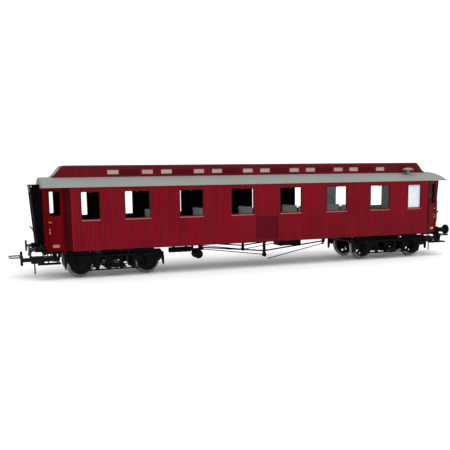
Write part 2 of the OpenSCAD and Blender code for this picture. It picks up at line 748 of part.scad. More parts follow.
// Wire loop: its back bar turns in the barrel
loop_bend = 1.6;
module coupler_loop() {
  y = loop_w / 2 - loop_r;
  x = loop_pivot_x + loop_l - loop_r;
  color("#3a3a3c") translate([0, 0, loop_z]) {
    rod_y([loop_pivot_x, 0, 0], loop_r, 2 * y + loop_r);
    both_sides() {
      rod_x([loop_pivot_x, -y, 0], loop_r, x - loop_bend - loop_pivot_x);
      translate([x - loop_bend, -y + loop_bend, 0]) rotate([0, 0, -90])
        rotate_extrude(angle = 90) translate([loop_bend, 0]) circle(loop_r, $fn = 20);
    }
    rod_y([x, 0, 0], loop_r, 2 * (y - loop_bend));
  }
}

module front() { translate([bogie_x, 0, 0]) children(); }
module rear() { mirror([1, 0, 0]) translate([bogie_x, 0, 0]) children(); }

module bogie_frame_front() { front() bogie_frame(); }
module axle_boxes_front() { front() axle_boxes(); }
module bogie_springs_front() { front() bogie_springs(); }
module brake_blocks_front() { front() brake_blocks(); }
module bogie_frame_rear() { rear() bogie_frame(); }
module axle_boxes_rear() { rear() axle_boxes(); }
module bogie_springs_rear() { rear() bogie_springs(); }
module brake_blocks_rear() { rear() brake_blocks(); }
module wheels_at(i) { translate([wheelset_x[i], 0, 0]) wheels(); }
module tyres_at(i) { translate([wheelset_x[i], 0, 0]) tyres(); }
module coupler_front() { coupler(); }
module coupler_loop_front() { coupler_loop(); }
module coupler_rear() { mirror([1, 0, 0]) coupler(); }
module coupler_loop_rear() { mirror([1, 0, 0]) coupler_loop(); }

side_wall_left();
side_wall_right();
number_panels();
vestibule_walls();
end_walls();
entrance_doors();
end_doors();
window_frames();
window_glass();
frosted_window();
floor_plate();
ballast_plate();
cabin_floor();
seats();
partitions();
underframe();
lower_roof();
clerestory_walls();
clerestory_roof();
clerestory_glass();
clerestory_louvres();
roof_vent();
gangway_bellows();
gangway_frames();
buffer_housings();
buffer_heads();
step_boards();
truss_rods();
battery_box();
gas_tank();
dynamo();
brake_rods();
brake_hoses();
end_plates();
bogie_frame_front();
axle_boxes_front();
bogie_springs_front();
brake_blocks_front();
bogie_frame_rear();
axle_boxes_rear();
bogie_springs_rear();
brake_blocks_rear();
wheels_at(0);  // wheels_1
tyres_at(0);  // tyres_1
wheels_at(1);  // wheels_2
tyres_at(1);  // tyres_2
wheels_at(2);  // wheels_3
tyres_at(2);  // tyres_3
wheels_at(3);  // wheels_4
tyres_at(3);  // tyres_4
coupler_front();
coupler_loop_front();
coupler_rear();
coupler_loop_rear();
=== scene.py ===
import math
import bmesh
import bpy
import numpy as np
from mathutils import Matrix, Vector


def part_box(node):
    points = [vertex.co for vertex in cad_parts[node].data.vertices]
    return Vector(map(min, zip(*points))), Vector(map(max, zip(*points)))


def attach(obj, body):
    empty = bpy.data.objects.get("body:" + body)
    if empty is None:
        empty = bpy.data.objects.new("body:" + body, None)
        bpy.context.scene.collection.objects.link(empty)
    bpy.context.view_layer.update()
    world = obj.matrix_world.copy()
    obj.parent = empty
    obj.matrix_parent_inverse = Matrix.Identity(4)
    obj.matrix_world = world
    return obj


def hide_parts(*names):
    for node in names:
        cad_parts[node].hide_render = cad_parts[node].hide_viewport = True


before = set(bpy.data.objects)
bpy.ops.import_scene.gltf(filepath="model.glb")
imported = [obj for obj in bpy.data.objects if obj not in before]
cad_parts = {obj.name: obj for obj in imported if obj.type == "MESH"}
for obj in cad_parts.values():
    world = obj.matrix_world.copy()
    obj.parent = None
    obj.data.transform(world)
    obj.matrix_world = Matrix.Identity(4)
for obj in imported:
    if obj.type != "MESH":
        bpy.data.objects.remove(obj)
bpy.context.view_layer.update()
print("frame loaded:", len(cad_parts), "nodes")

mm = 0.001               # every size below is in millimetres, and meshes are scaled once at the end
sunk = 0.03              # how far the foot of a raised detail reaches into the surface behind it


def corners(node):
    # lowest and highest corner of a CAD node in millimetres
    lo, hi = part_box(node)
    return np.array(lo) / mm, np.array(hi) / mm


# Main stations of the coach, read off the CAD nodes
wallLo, wallHi = corners("side_wall_right")
wideX, bodyZ, eaveZ, sideY = wallHi[0], wallLo[2], wallHi[2], -wallLo[1]
endX = corners("end_walls")[1][0]
bogieX = corners("wheels_1")[0][0] / 2 + corners("wheels_2")[1][0] / 2
halfBase = (corners("wheels_1")[0][0] - corners("wheels_2")[0][0]) / 2
axleZ = corners("wheels_1")[0][2] / 2 + corners("wheels_1")[1][2] / 2

coach = {
    "windowPitch": 23.84, "windows": 6, "windowWidth": 10.7,
    "narrowX": 79.3, "narrowWidth": 7.56,
    "sillZ": 24.65, "windowHeight": 11.86,
    "revealX": 89.2, "revealY": 14.6,
    "doorWidth": 6.6, "doorRecess": 0.2, "doorWindow": 4.6,
}
wideWindows = (np.arange(coach["windows"]) - (coach["windows"] - 1) / 2) * coach["windowPitch"]
doorTurn = math.atan2(coach["revealY"] - corners("end_walls")[1][1], endX - coach["revealX"])
doorLine = math.hypot(coach["revealY"] - corners("end_walls")[1][1], endX - coach["revealX"])


# Surfaces: a shape is its points and a list of face arrays, one array for each corner count

def gridFaces(rows, columns, wrapRows=False, wrapColumns=False):
    # quads between neighbouring points of a grid that is stored row by row
    r = np.arange(rows if wrapRows else rows - 1)[:, None]
    c = np.arange(columns if wrapColumns else columns - 1)[None, :]
    r2, c2 = (r + 1) % rows, (c + 1) % columns
    loop = np.broadcast_arrays(r * columns + c, r * columns + c2, r2 * columns + c2, r2 * columns + c)
    return np.stack(loop, -1).reshape(-1, 4)


def merged(*shapes):
    # several shapes as one, with the face numbers moved on
    points, faces, count = [], [], 0
    for p, f in shapes:
        points.append(p)
        faces += [a + count for a in f]
        count += len(p)
    return np.concatenate(points), faces


def copies(shape, places):
    # the same shape at many places
    points, faces = shape
    places = np.asarray(places, float).reshape(-1, 3)
    shift = (np.arange(len(places)) * len(points))[:, None, None]
    return ((points[None] + places[:, None]).reshape(-1, 3),
            [(f[None] + shift).reshape(-1, f.shape[1]) for f in faces])


def flipped(shape, *signs):
    # copies of a shape with the signs of x, y and z changed, as mirror images
    return merged(*[(shape[0] * np.array(s, float), shape[1]) for s in signs])


def bothSides(shape):
    # a shape and its mirror image on the other side: y to -y
    return flipped(shape, (1, 1, 1), (1, -1, 1))


def bothEnds(shape):
    # a shape and its mirror image at the other end: x to -x
    return flipped(shape, (1, 1, 1), (-1, 1, 1))


def fourCorners(shape):
    # a shape at all four corners of the coach: x to -x and y to -y
    return flipped(shape, (1, 1, 1), (1, -1, 1), (-1, 1, 1), (-1, -1, 1))


def boxes(lo, hi):
    # upright boxes from their lowest and highest corners; corner number = 4x + 2y + z
    lo, hi = np.atleast_2d(lo).astype(float), np.atleast_2d(hi).astype(float)
    lo, hi = np.broadcast_arrays(lo, hi)
    cube = np.array([[x, y, z] for x in (0, 1) for y in (0, 1) for z in (0, 1)], float)
    sides = np.array([[0, 1, 3, 2], [4, 6, 7, 5], [0, 4, 5, 1], [2, 3, 7, 6], [0, 2, 6, 4], [1, 5, 7, 3]])
    points = (lo[:, None] + (hi - lo)[:, None] * cube).reshape(-1, 3)
    return points, [(sides[None] + np.arange(len(lo))[:, None, None] * 8).reshape(-1, 4)]


def lathe(profile, sides=16, axis="z"):
    # profile of (radius, height) pairs turned about an axis through the origin
    profile = np.asarray(profile, float)
    angle = np.arange(sides) / sides * math.tau
    r, h = profile[:, :1], profile[:, 1:]
    rings = np.stack(np.broadcast_arrays(r * np.cos(angle), r * np.sin(angle), h), -1)
    count = len(profile)
    ends = np.array([np.arange(sides)[::-1], (count - 1) * sides + np.arange(sides)])
    order = {"z": (0, 1, 2), "x": (2, 0, 1), "y": (1, 2, 0)}[axis]
    return rings.reshape(-1, 3)[:, order], [gridFaces(count, sides, wrapColumns=True), ends]


def ring(radius, wire, sides=24, axis="z", steps=8):
    # round wire of the given radius bent to a circle
    angle = np.arange(sides)[:, None] / sides * math.tau
    turn = np.arange(steps)[None] / steps * math.tau
    r = radius + wire * np.cos(turn)
    rings = np.stack(np.broadcast_arrays(r * np.cos(angle), r * np.sin(angle), wire * np.sin(turn)), -1)
    order = {"z": (0, 1, 2), "x": (2, 0, 1), "y": (1, 2, 0)}[axis]
    return rings.reshape(-1, 3)[:, order], [gridFaces(sides, steps, True, True)]


def unit(v):
    # vectors divided by their own lengths
    return v / np.linalg.norm(v, axis=-1, keepdims=True)


def sweep(path, profile, normal, closed=False):
    # profile carried along a path: its first number runs sideways, its second along the normal
    path, profile = np.asarray(path, float), np.asarray(profile, float)
    ahead, behind = np.roll(path, -1, 0) - path, path - np.roll(path, 1, 0)
    if not closed:
        ahead[-1], behind[0] = behind[-1], ahead[0]
    ahead = unit(ahead)
    tangent = unit(ahead + unit(behind))
    normal = np.broadcast_to(np.asarray(normal, float), path.shape)
    normal = unit(normal - (normal * tangent).sum(1, keepdims=True) * tangent)
    side = np.cross(tangent, normal) / (ahead * tangent).sum(1, keepdims=True)
    points = path[:, None] + profile[None, :, :1] * side[:, None] + profile[None, :, 1:] * normal[:, None]
    faces = [gridFaces(len(path), len(profile), wrapRows=closed, wrapColumns=True)]
    if not closed:
        k = np.arange(len(profile))
        faces.append(np.array([k[::-1], (len(path) - 1) * len(profile) + k]))
    return points.reshape(-1, 3), faces


def circle(radius, sides):
    # points (r cos a, r sin a) for even steps of the angle a
    angle = np.arange(sides) / sides * math.tau
    return np.stack([radius * np.cos(angle), radius * np.sin(angle)], -1)


def roundedBar(width, height, corner=0.06):
    # flat strip with eased edges, standing on its base line
    w, h, c = width / 2, height, min(corner, width / 3, height / 2)
    return np.array([[-w, -sunk], [-w, h - c], [-w + c, h], [w - c, h], [w, h - c], [w, -sunk]])


def roundedRectangle(width, height, radius, steps=5):
    # outline in the u-v plane, counter-clockwise from the right
    angle = (np.arange(4)[:, None] * 90 + np.linspace(0, 90, steps)[None]) * math.pi / 180
    centre = np.array([[1, 1], [-1, 1], [-1, -1], [1, -1]]) * [width / 2 - radius, height / 2 - radius]
    arcs = np.stack([np.cos(angle), np.sin(angle)], -1) * radius + centre[:, None]
    return arcs.reshape(-1, 2)


def onSide(uv, x, z, y):
    # outline points on the near side wall: u along the coach, v upwards
    return np.stack([uv[:, 0] + x, np.full(len(uv), y), uv[:, 1] + z], -1)


def strip(x0, x1, y, z, profile):
    # straight moulding along the coach from x0 to x1, facing the near side
    return sweep([[x0, y, z], [x1, y, z]], profile, (0, -1, 0))


def border(width, height, corner, x, z, y, profile):
    # closed moulding round a rounded rectangle about (x, z) on the plane y, facing the near side
    path = onSide(roundedRectangle(width, height, corner), x, z, y)
    return sweep(path, profile, (0, -1, 0), closed=True)


def turnings(profile, spots, sides=16, axis="z"):
    # the same turned shape at many places
    return copies(lathe(profile, sides, axis), spots)


def rivets(spots, radius, height, axis="y", sign=-1, sides=8):
    # rivet heads (radius cos a, height sin a) for a up to 80 degrees, standing out along one axis
    k = np.linspace(0, 1, 4)[:, None] * 80 * math.pi / 180
    profile = np.concatenate([[[radius, -sunk]], np.c_[radius * np.cos(k), height * np.sin(k)]])
    points, faces = lathe(profile, sides, axis)
    points = points * {"x": (sign, 1, 1), "y": (1, sign, 1), "z": (1, 1, sign)}[axis]
    return copies((points, faces), spots)


def newPiece(name, shape, body, material, bevel=0.0, crease=35):
    # mesh from a shape in millimetres, riding on its body and taking its material
    points, faces = shape
    mesh = bpy.data.meshes.new(name)
    mesh.from_pydata((points * mm).tolist(), [], [f for a in faces for f in a.tolist()])
    work = bmesh.new()
    work.from_mesh(mesh)
    bmesh.ops.recalc_face_normals(work, faces=work.faces)
    work.to_mesh(mesh)
    work.free()
    mesh.shade_smooth()
    mesh.set_sharp_from_angle(angle=math.radians(crease))
    mesh.materials.append(material)
    piece = bpy.data.objects.new(name, mesh)
    bpy.context.scene.collection.objects.link(piece)
    if bevel:
        edge = piece.modifiers.new("eased edges", "BEVEL")
        edge.width, edge.segments, edge.limit_method = bevel * mm, 2, "ANGLE"
    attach(piece, body)
    return piece


# Shader maths

class Wire:
    # a socket that takes part in Python expressions; each operator adds one maths node
    def __init__(self, graph, socket):
        # the material it belongs to and the socket itself
        self.graph, self.socket = graph, socket

    def maths(self, operation, *values):
        # result of one operation on one or two values
        return self.graph.node("ShaderNodeMath", {"operation": operation}, dict(enumerate(values)))

    def __add__(self, other):
        # self + other
        return self.maths("ADD", self, other)

    def __sub__(self, other):
        # self - other
        return self.maths("SUBTRACT", self, other)

    def __rsub__(self, other):
        # other - self
        return self.maths("SUBTRACT", other, self)

    def __mul__(self, other):
        # self * other
        return self.maths("MULTIPLY", self, other)

    def __truediv__(self, other):
        # self / other
        return self.maths("DIVIDE", self, other)

    def __pow__(self, other):
        # self to the power of other
        return self.maths("POWER", self, other)

    def __abs__(self):
        # self without its sign
        return self.maths("ABSOLUTE", self)

    def rise(self, low, high):
        # smooth step from 0 at low to 1 at high
        return self.graph.node("ShaderNodeMapRange", {"interpolation_type": "SMOOTHSTEP"},
                               {"Value": self, "From Min": low, "From Max": high})

    __radd__, __rmul__ = __add__, __mul__


class Finish:
    # one material and the nodes that are added to it
    def __init__(self, name):
        # new material with an empty node tree
        self.material = bpy.data.materials.new(name)
        self.material.use_nodes = True
        self.tree = self.material.node_tree
        self.tree.nodes.clear()

    def node(self, kind, settings, values, output=0):
        # new node with its settings; its inputs are linked to wires or set to values
        made = self.tree.nodes.new(kind)
        for key, value in settings.items():
            if key == "stops":
                ramp = made.color_ramp.elements
                while len(ramp) < len(value):
                    ramp.new(0.5)
                for stop, (position, colour) in zip(ramp, value):
                    stop.position, stop.color = position, colour
            else:
                setattr(made, key, value)
        for key, value in values.items():
            if isinstance(value, Wire):
                self.tree.links.new(value.socket, made.inputs[key])
            else:
                made.inputs[key].default_value = value
        return Wire(self, made.outputs[output]) if made.outputs else None

    def place(self):
        # place on the piece, in metres
        return self.node("ShaderNodeTexCoord", {}, {}, "Object")

    def parts(self, vector):
        # the three numbers of a vector, in metres
        split = self.node("ShaderNodeSeparateXYZ", {}, {0: vector})
        return [Wire(self, o) for o in split.socket.node.outputs]

    def stretched(self, vector, scale):
        # vector times scale, number by number
        return self.node("ShaderNodeMapping", {}, {"Vector": vector, "Scale": scale})

    def noise(self, vector, scale, detail=3.0, rough=0.5):
        # cloudy value between 0 and 1
        return self.node("ShaderNodeTexNoise", {}, {"Vector": vector, "Scale": scale, "Detail": detail,
                                                    "Roughness": rough})

    def mix(self, factor, a, b):
        # colour a (1 - factor) + b factor
        return self.node("ShaderNodeMix", {"data_type": "RGBA"}, {0: factor, 6: a, 7: b}, 2)

    def done(self, **values):
        # principled surface to the output; a bump height in metres feeds the normal
        height = values.pop("height", None)
        if height is not None:
            values["Normal"] = self.node("ShaderNodeBump", {}, {"Strength": 1.0, "Distance": 1.0,
                                                                "Height": height})
        named = {k.replace("_", " "): v for k, v in values.items()}
        shader = self.node("ShaderNodeBsdfPrincipled", {}, named)
        self.node("ShaderNodeOutputMaterial", {}, {"Surface": shader})
        return self.material


def tint(red, green, blue):
    # 0 to 255 screen colour as linear light
    c = np.array([red, green, blue]) / 255
    return (*np.where(c <= 0.04045, c / 12.92, ((c + 0.055) / 1.055) ** 2.4).tolist(), 1.0)


def surface(name, look):
    # cloudy colour, fine grain in the height, a lighter colour blended in on upward faces, and uneven
    # gloss
    f = Finish(name)
    place = f.place()
    cloud = f.noise(place, look.get("cloudScale", 60), 4)
    grain = f.noise(f.stretched(place, look.get("stretch", (1, 1, 1))), look.get("grainScale", 3000), 2)
    up = f.parts(f.node("ShaderNodeNewGeometry", {}, {}, "Normal"))[2].rise(0.4, 1.0)
    colour = f.mix(cloud.rise(0.3, 0.7), look["colour"], look["second"])
    if "upColour" in look:
        colour = f.mix(up * cloud.rise(0.2, 0.9) * look.get("filmAmount", 0.25), colour, look["upColour"])
    lo, hi = look["rough"]
    rough = (cloud * 0.6 + grain * 0.4).rise(0.3, 0.7) * (hi - lo) + lo
    height = grain * look.get("grainHeight", 4e-6) + cloud * look.get("cloudHeight", 1e-5)
    # a look's glow makes the surface shine by itself: painted light, used on the seats
    return f.done(Base_Color=colour, Roughness=rough, height=height, Metallic=look.get("metal", 0.0),
                  Specular_IOR_Level=look.get("specular", 0.15), Emission_Color=colour,
                  Emission_Strength=look.get("glow", 0.0))


looks = {
    "roofPaint": {"colour": tint(138, 143, 139), "second": tint(127, 133, 130),
                  "upColour": tint(160, 158, 151), "rough": (0.55, 0.72), "grainScale": 2400,
                  "grainHeight": 1.2e-5, "cloudScale": 45},
    "edgeBead": {"colour": tint(104, 66, 62), "second": tint(92, 54, 52), "rough": (0.5, 0.65)},
    "gutterPaint": {"colour": tint(146, 142, 138), "second": tint(134, 133, 130), "rough": (0.5, 0.65)},
    "blackMoulding": {"colour": tint(5, 5, 7), "second": tint(8, 9, 11), "upColour": tint(20, 21, 24),
                      "rough": (0.42, 0.62), "grainHeight": 8e-6, "specular": 0.06},
    "bogieMoulding": {"colour": tint(4, 6, 9), "second": tint(7, 10, 14), "upColour": tint(22, 25, 30),
                      "rough": (0.4, 0.6), "grainHeight": 9e-6, "specular": 0.06},
    "wheelBlack": {"colour": tint(8, 9, 11), "second": tint(13, 14, 16), "rough": (0.35, 0.5),
                   "specular": 0.08},
    "bufferSteel": {"colour": tint(16, 17, 19), "second": tint(24, 25, 27), "rough": (0.28, 0.42),
                    "specular": 0.3},
    "couplerMoulding": {"colour": tint(10, 10, 12), "second": tint(16, 17, 19), "rough": (0.4, 0.55)},
    "loopWire": {"colour": tint(50, 50, 54), "second": tint(36, 36, 40), "rough": (0.25, 0.4),
                 "metal": 0.9},
    "ballastSteel": {"colour": tint(100, 102, 104), "second": tint(84, 84, 84), "rough": (0.35, 0.5),
                     "metal": 0.3, "stretch": (0.05, 1, 1)},
    "floorMoulding": {"colour": tint(20, 19, 19), "second": tint(28, 27, 26), "rough": (0.6, 0.75)},
    # the seats glow a little: painted light standing in for light that comes in through the windows
    "seatMoulding": {"colour": tint(168, 170, 172), "second": tint(152, 154, 157), "rough": (0.5, 0.65),
                     "grainHeight": 1e-5, "glow": 0.14},
    "partitionMoulding": {"colour": tint(212, 212, 215), "second": tint(198, 198, 201),
                          "rough": (0.5, 0.65)},
    "plateCream": {"colour": tint(178, 136, 106), "second": tint(146, 100, 76), "rough": (0.35, 0.5)},
    "brass": {"colour": tint(190, 146, 82), "second": tint(158, 112, 58), "rough": (0.28, 0.42),
              "metal": 0.7},
    "bellowsRubber": {"colour": tint(5, 5, 6), "second": tint(9, 9, 10), "upColour": tint(22, 22, 24),
                      "rough": (0.6, 0.8), "grainHeight": 1.4e-5, "grainScale": 1800},
    "opalPlastic": {"colour": tint(186, 161, 164), "second": tint(170, 146, 150), "rough": (0.3, 0.42)},
}
made = {name: surface(name, look) for name, look in looks.items()}

redPaint = {
    "colour": tint(124, 5, 25), "second": tint(110, 3, 20), "streak": tint(131, 16, 34),
    # near-black painted shade inside the walls, and grey painted light inside the side walls from 34 to 46
    # mm
    "paintedShade": tint(8, 7, 8), "paintedLight": tint(228, 228, 232), "paintedLightFrom": 34.0, "paintedLightTo": 46.0,
    "insideEdge": 0.0, "rough": (0.36, 0.52), "cloudScale": 38, "streakScale": 520, "grainScale": 5200,
    "grainHeight": 5e-6, "streakHeight": 8e-6, "specular": 0.07,
}


def paintedBody(name, look):
    # satin red with streaks that follow the upright boards; the inside of the side walls gets painted
    # shade, near black, that turns to grey painted light towards the front end; the slanted and end
    # walls get painted shade inside, and the coach's corners get painted shade up to their edge
    f = Finish(name)
    place = f.place()
    cloud = f.noise(place, look["cloudScale"], 3)
    streak = f.noise(f.stretched(place, (1, 1, 0.06)), look["streakScale"], 3, 0.6)
    grain = f.noise(f.stretched(place, (1, 1, 0.15)), look["grainScale"], 2)
    x, y = f.parts(place)[:2]
    colour = f.mix(cloud.rise(0.3, 0.7), look["colour"], look["second"])
    colour = f.mix(streak.rise(0.45, 0.75) * 0.5, colour, look["streak"])
    # painted shade on the inside of the side walls, turning to painted light towards the front end
    if look["insideEdge"]:
        edge = look["insideEdge"] * mm
        insideShading = f.mix(x.rise(look["paintedLightFrom"] * mm, look["paintedLightTo"] * mm), look["paintedShade"], look["paintedLight"])
        colour = f.mix(abs(y).rise(edge - 1e-5, edge + 1e-5), insideShading, colour)
    if "shade" in look:
        colour = f.mix(abs(x).rise(look["shadeFrom"] * mm, look["shadeTo"] * mm), look["shade"], colour)
    # painted shade on the inner faces of the slanted walls
    if "slantInside" in look:
        deep = ((coach["revealY"] * mm - abs(y)) * math.cos(doorTurn)
                - (abs(x) - coach["revealX"] * mm) * math.sin(doorTurn))
        insideShading = deep.rise(look["slantInside"] * mm, (look["slantInside"] + 0.1) * mm)
        colour = f.mix(insideShading, colour, look["paintedShade"])
    # painted shade on the inner faces of the end walls
    if "endInside" in look:
        outside = abs(x).rise((endX - look["endInside"] - 0.1) * mm, (endX - look["endInside"]) * mm)
        colour = f.mix(outside, look["paintedShade"], colour)
    lo, hi = look["rough"]
    rough = streak.rise(0.3, 0.7) * (hi - lo) + lo
    height = grain * look["grainHeight"] + streak * look["streakHeight"]
    return f.done(Base_Color=colour, Roughness=rough, height=height, Specular_IOR_Level=look["specular"])


# darker copy of the body red: painted shade on the recessed vestibules, their doors and the end walls
shadedVestibuleRed = {**redPaint, "colour": tint(97, 0, 9), "second": tint(86, 0, 7), "streak": tint(108, 5, 15),
                "rough": (0.3, 0.42), "specular": 0.03}
redPaints = {
    "boardPaint": redPaint,
    "groovePaint": {**redPaint, "colour": tint(70, 3, 13), "second": tint(62, 2, 11),
                    "streak": tint(70, 8, 16), "insideEdge": sideY - 0.5},
    "doorPaint": {**shadedVestibuleRed, "slantInside": 0.6},
    "vestibulePaint": {**shadedVestibuleRed, "shade": tint(62, 0, 4), "shadeFrom": coach["revealX"] + 0.2,
                       "shadeTo": coach["revealX"] + 2.2, "slantInside": 0.6},
    "endPaint": {**shadedVestibuleRed, "endInside": 0.6},
    "panelPaint": {**redPaint, "colour": tint(84, 3, 18), "second": tint(74, 2, 15),
                   "streak": tint(92, 10, 24)},
    # darker copy of the body red: painted shade on the clerestory walls, their window trims and the flap
    # rims
    "clerestoryShadedPaint": {**redPaint, "colour": tint(104, 14, 24), "second": tint(90, 10, 19),
                        "streak": tint(114, 26, 36), "insideEdge": 4.6},
    "flapPaint": {**redPaint, "colour": tint(88, 2, 15), "second": tint(78, 1, 12),
                  "streak": tint(98, 10, 22)},
}
for name, look in redPaints.items():
    made[name] = paintedBody(name, look)


sheet = {"colour": tint(176, 176, 170), "second": tint(164, 165, 160), "edge": tint(90, 24, 28),
         "edgeFrom": 0.5, "edgeTo": 0.8}


def sheetRoof(name):
    # light grey sheet; where the normal's y passes from edgeFrom to edgeTo, on the cut edge, it turns
    # brown-red
    f = Finish(name)
    place = f.place()
    cloud, grain = f.noise(place, 45, 3), f.noise(place, 2400, 2)
    across = abs(f.parts(f.node("ShaderNodeNewGeometry", {}, {}, "Normal"))[1])
    colour = f.mix(cloud.rise(0.3, 0.7), sheet["colour"], sheet["second"])
    colour = f.mix(across.rise(sheet["edgeFrom"], sheet["edgeTo"]), colour, sheet["edge"])
    return f.done(Base_Color=colour, Roughness=cloud * 0.15 + 0.5, height=grain * 1e-5,
                  Specular_IOR_Level=0.2)


made["sheetRoof"] = sheetRoof("sheetRoof")
# the pale pink line colour is a painted highlight along the sill; the two dark reds of the sides and head
# are painted shade in the window reveal
beads = {"foot": 0.52, "head": 0.34, "side": 0.14, "depth": (-0.55, 0.14), "ease": 0.04, "corner": 0.4,
         "lap": 0.05, "outerCorner": 0.52, "line": 0.14, "half": 0.08, "sillHighlight": tint(158, 92, 92),
         "colour": tint(66, 8, 13), "headColour": tint(84, 2, 14), "worn": tint(76, 22, 22)}


def windowTrim(name):
    # painted highlight: a pale pink line along the lower edge of the sill; painted shade: dark red up the
    # sides and along the head
    f = Finish(name)
    place = f.place()
    z = f.parts(place)[2]
    fine = f.noise(place, 2600, 2)
    line, half = coach["sillZ"] + beads["line"], beads["half"]
    low = z.rise((line - half) * mm, (line + half) * mm)
    head = coach["sillZ"] + coach["windowHeight"] - beads["head"]
    high = z.rise((head - 0.2) * mm, (head + 0.1) * mm)
    colour = f.mix(low, beads["sillHighlight"], beads["colour"])
    colour = f.mix(high, colour, beads["headColour"])
    colour = f.mix(fine.rise(0.35, 0.75) * 0.3, colour, beads["worn"])
    return f.done(Base_Color=colour, Roughness=fine * 0.2 + 0.35, height=fine * 4e-6,
                  Specular_IOR_Level=0.1)


glass = {"colour": tint(24, 26, 26), "ior": 1.46, "straight": 0.03, "grazing": 0.6, "haze": 0.0006}


def clearGlass(name):
    # thin clear pane; opacity = grazing step(fresnel - straight) + haze noise, so it is nearly
    # see-through when looked at straight on and brighter at a grazing look
    f = Finish(name)
    haze = f.noise(f.place(), 240, 3)
    glint = f.node("ShaderNodeFresnel", {}, {"IOR": glass["ior"]}) - glass["straight"]
    alpha = glint.rise(0.0, 0.6) * glass["grazing"] + haze.rise(0.4, 0.9) * glass["haze"]
    return f.done(Base_Color=glass["colour"], Roughness=haze * 0.05 + 0.14, Alpha=alpha)


def frostedGlass(name):
    # white etched pane that lets light through
    f = Finish(name)
    place = f.place()
    etch = f.noise(place, 4200, 2)
    cloud = f.noise(place, 180, 3)
    colour = f.mix(cloud.rise(0.3, 0.7), tint(222, 229, 233), tint(210, 220, 226))
    return f.done(Base_Color=colour, Roughness=etch * 0.2 + 0.45, height=etch * 6e-6)


turnedLook = {"bright": tint(162, 154, 149), "dull": tint(116, 107, 102), "rough": (0.22, 0.38),
              "black": tint(14, 14, 16), "rim": 4.9}


def turnedSteel(name, centreX, look):
    # rings of fine tool marks round the axle at centreX
    f = Finish(name)
    place = f.place()
    x, y, z = f.parts(place)
    radius = ((x - centreX * mm) ** 2 + (z - axleZ * mm) ** 2) ** 0.5
    marks = f.noise(f.node("ShaderNodeCombineXYZ", {}, {0: radius, 1: y, 2: 0.0}), 9000, 2)
    cloud = f.noise(place, 420, 3)
    colour = f.mix((marks * 0.5 + cloud * 0.5).rise(0.35, 0.65), look["bright"], look["dull"])
    bare = radius.rise((look["rim"] - 0.04) * mm, (look["rim"] + 0.04) * mm)
    colour = f.mix(bare, look["black"], colour)
    lo, hi = look["rough"]
    return f.done(Base_Color=colour, Metallic=bare, Roughness=cloud * (hi - lo) + lo, height=marks * 3e-6)


made["windowTrim"] = windowTrim("windowTrim")
made["clearGlass"] = clearGlass("clearGlass")
made["frostedGlass"] = frostedGlass("frostedGlass")
wheelsetX = [bogieX + halfBase, bogieX - halfBase, -bogieX + halfBase, -bogieX - halfBase]
for i, x in enumerate(wheelsetX):
    made[f"tyreSteel{i + 1}"] = turnedSteel(f"tyreSteel{i + 1}", x, turnedLook)

nodeFinish = {
    "side_wall_left": "groovePaint", "side_wall_right": "groovePaint", "number_panels": "panelPaint",
    "vestibule_walls": "vestibulePaint", "end_walls": "endPaint",
    "entrance_doors": "doorPaint", "end_doors": "endPaint", "window_frames": "windowTrim",
    "window_glass": "clearGlass", "frosted_window": "frostedGlass", "floor_plate": "floorMoulding",
    "ballast_plate": "ballastSteel", "cabin_floor": "floorMoulding", "seats": "seatMoulding",
    "partitions": "partitionMoulding", "underframe": "blackMoulding", "lower_roof": "roofPaint",
    "clerestory_walls": "clerestoryShadedPaint", "clerestory_roof": "sheetRoof",
    "clerestory_glass": "opalPlastic", "clerestory_louvres": "flapPaint", "roof_vent": "roofPaint",
    "gangway_frames": "blackMoulding", "buffer_housings": "blackMoulding",
    "buffer_heads": "bufferSteel", "step_boards": "blackMoulding", "truss_rods": "blackMoulding",
    "battery_box": "blackMoulding", "gas_tank": "blackMoulding", "dynamo": "blackMoulding",
    "brake_rods": "blackMoulding", "brake_hoses": "bellowsRubber", "end_plates": "plateCream",
}
for end in ("front", "rear"):
    for part in ("bogie_frame", "axle_boxes", "bogie_springs", "brake_blocks"):
        nodeFinish[f"{part}_{end}"] = "bogieMoulding"
    nodeFinish[f"coupler_{end}"] = "couplerMoulding"
    nodeFinish[f"coupler_loop_{end}"] = "loopWire"
for i in range(1, 5):
    nodeFinish[f"wheels_{i}"] = "wheelBlack"
    nodeFinish[f"tyres_{i}"] = f"tyreSteel{i}"
for node, finish in nodeFinish.items():
    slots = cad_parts[node].data.materials
    slots.clear()
    slots.append(made[finish])
print("materials:", len(made))


# Camera, floor and light

camera = {"place": (-122.57, -291.89, 42.0), "turn": 20.304, "tilt": -8.54, "roll": -0.832,
          "lens": 52.868, "shift": 0.111}


def makeCamera():
    # looks along a direction turned from +Y towards +X and tilted down, then rolled about it
    turn, tilt, roll = (math.radians(camera[k]) for k in ("turn", "tilt", "roll"))
    ahead = Vector((math.sin(turn) * math.cos(tilt), math.cos(turn) * math.cos(tilt), math.sin(tilt)))
    right = Vector((math.cos(turn), -math.sin(turn), 0))
    up = right.cross(ahead)
    across = math.cos(roll) * right + math.sin(roll) * up
    above = math.cos(roll) * up - math.sin(roll) * right
    data = bpy.data.cameras.new("camera")
    data.lens, data.sensor_width, data.shift_y = camera["lens"], 36, camera["shift"]
    data.clip_start, data.clip_end = 0.01, 20
    eye = bpy.data.objects.new("camera", data)
    turned = Matrix((across, above, -ahead)).transposed().to_4x4()
    eye.matrix_world = Matrix.Translation(Vector(camera["place"]) * mm) @ turned
    bpy.context.scene.collection.objects.link(eye)
    bpy.context.scene.camera = eye


lighting = {"sky": 0.81, "backdrop": 1.0, "sun": 1.35, "sunAngle": 52, "sunTilt": (27, 6, 0), "fill": 0.2,
            "fillSize": (0.9, 0.35), "fillPlace": (-0.25, -0.75, 0.45), "fillAim": (0, 0, 0.02)}


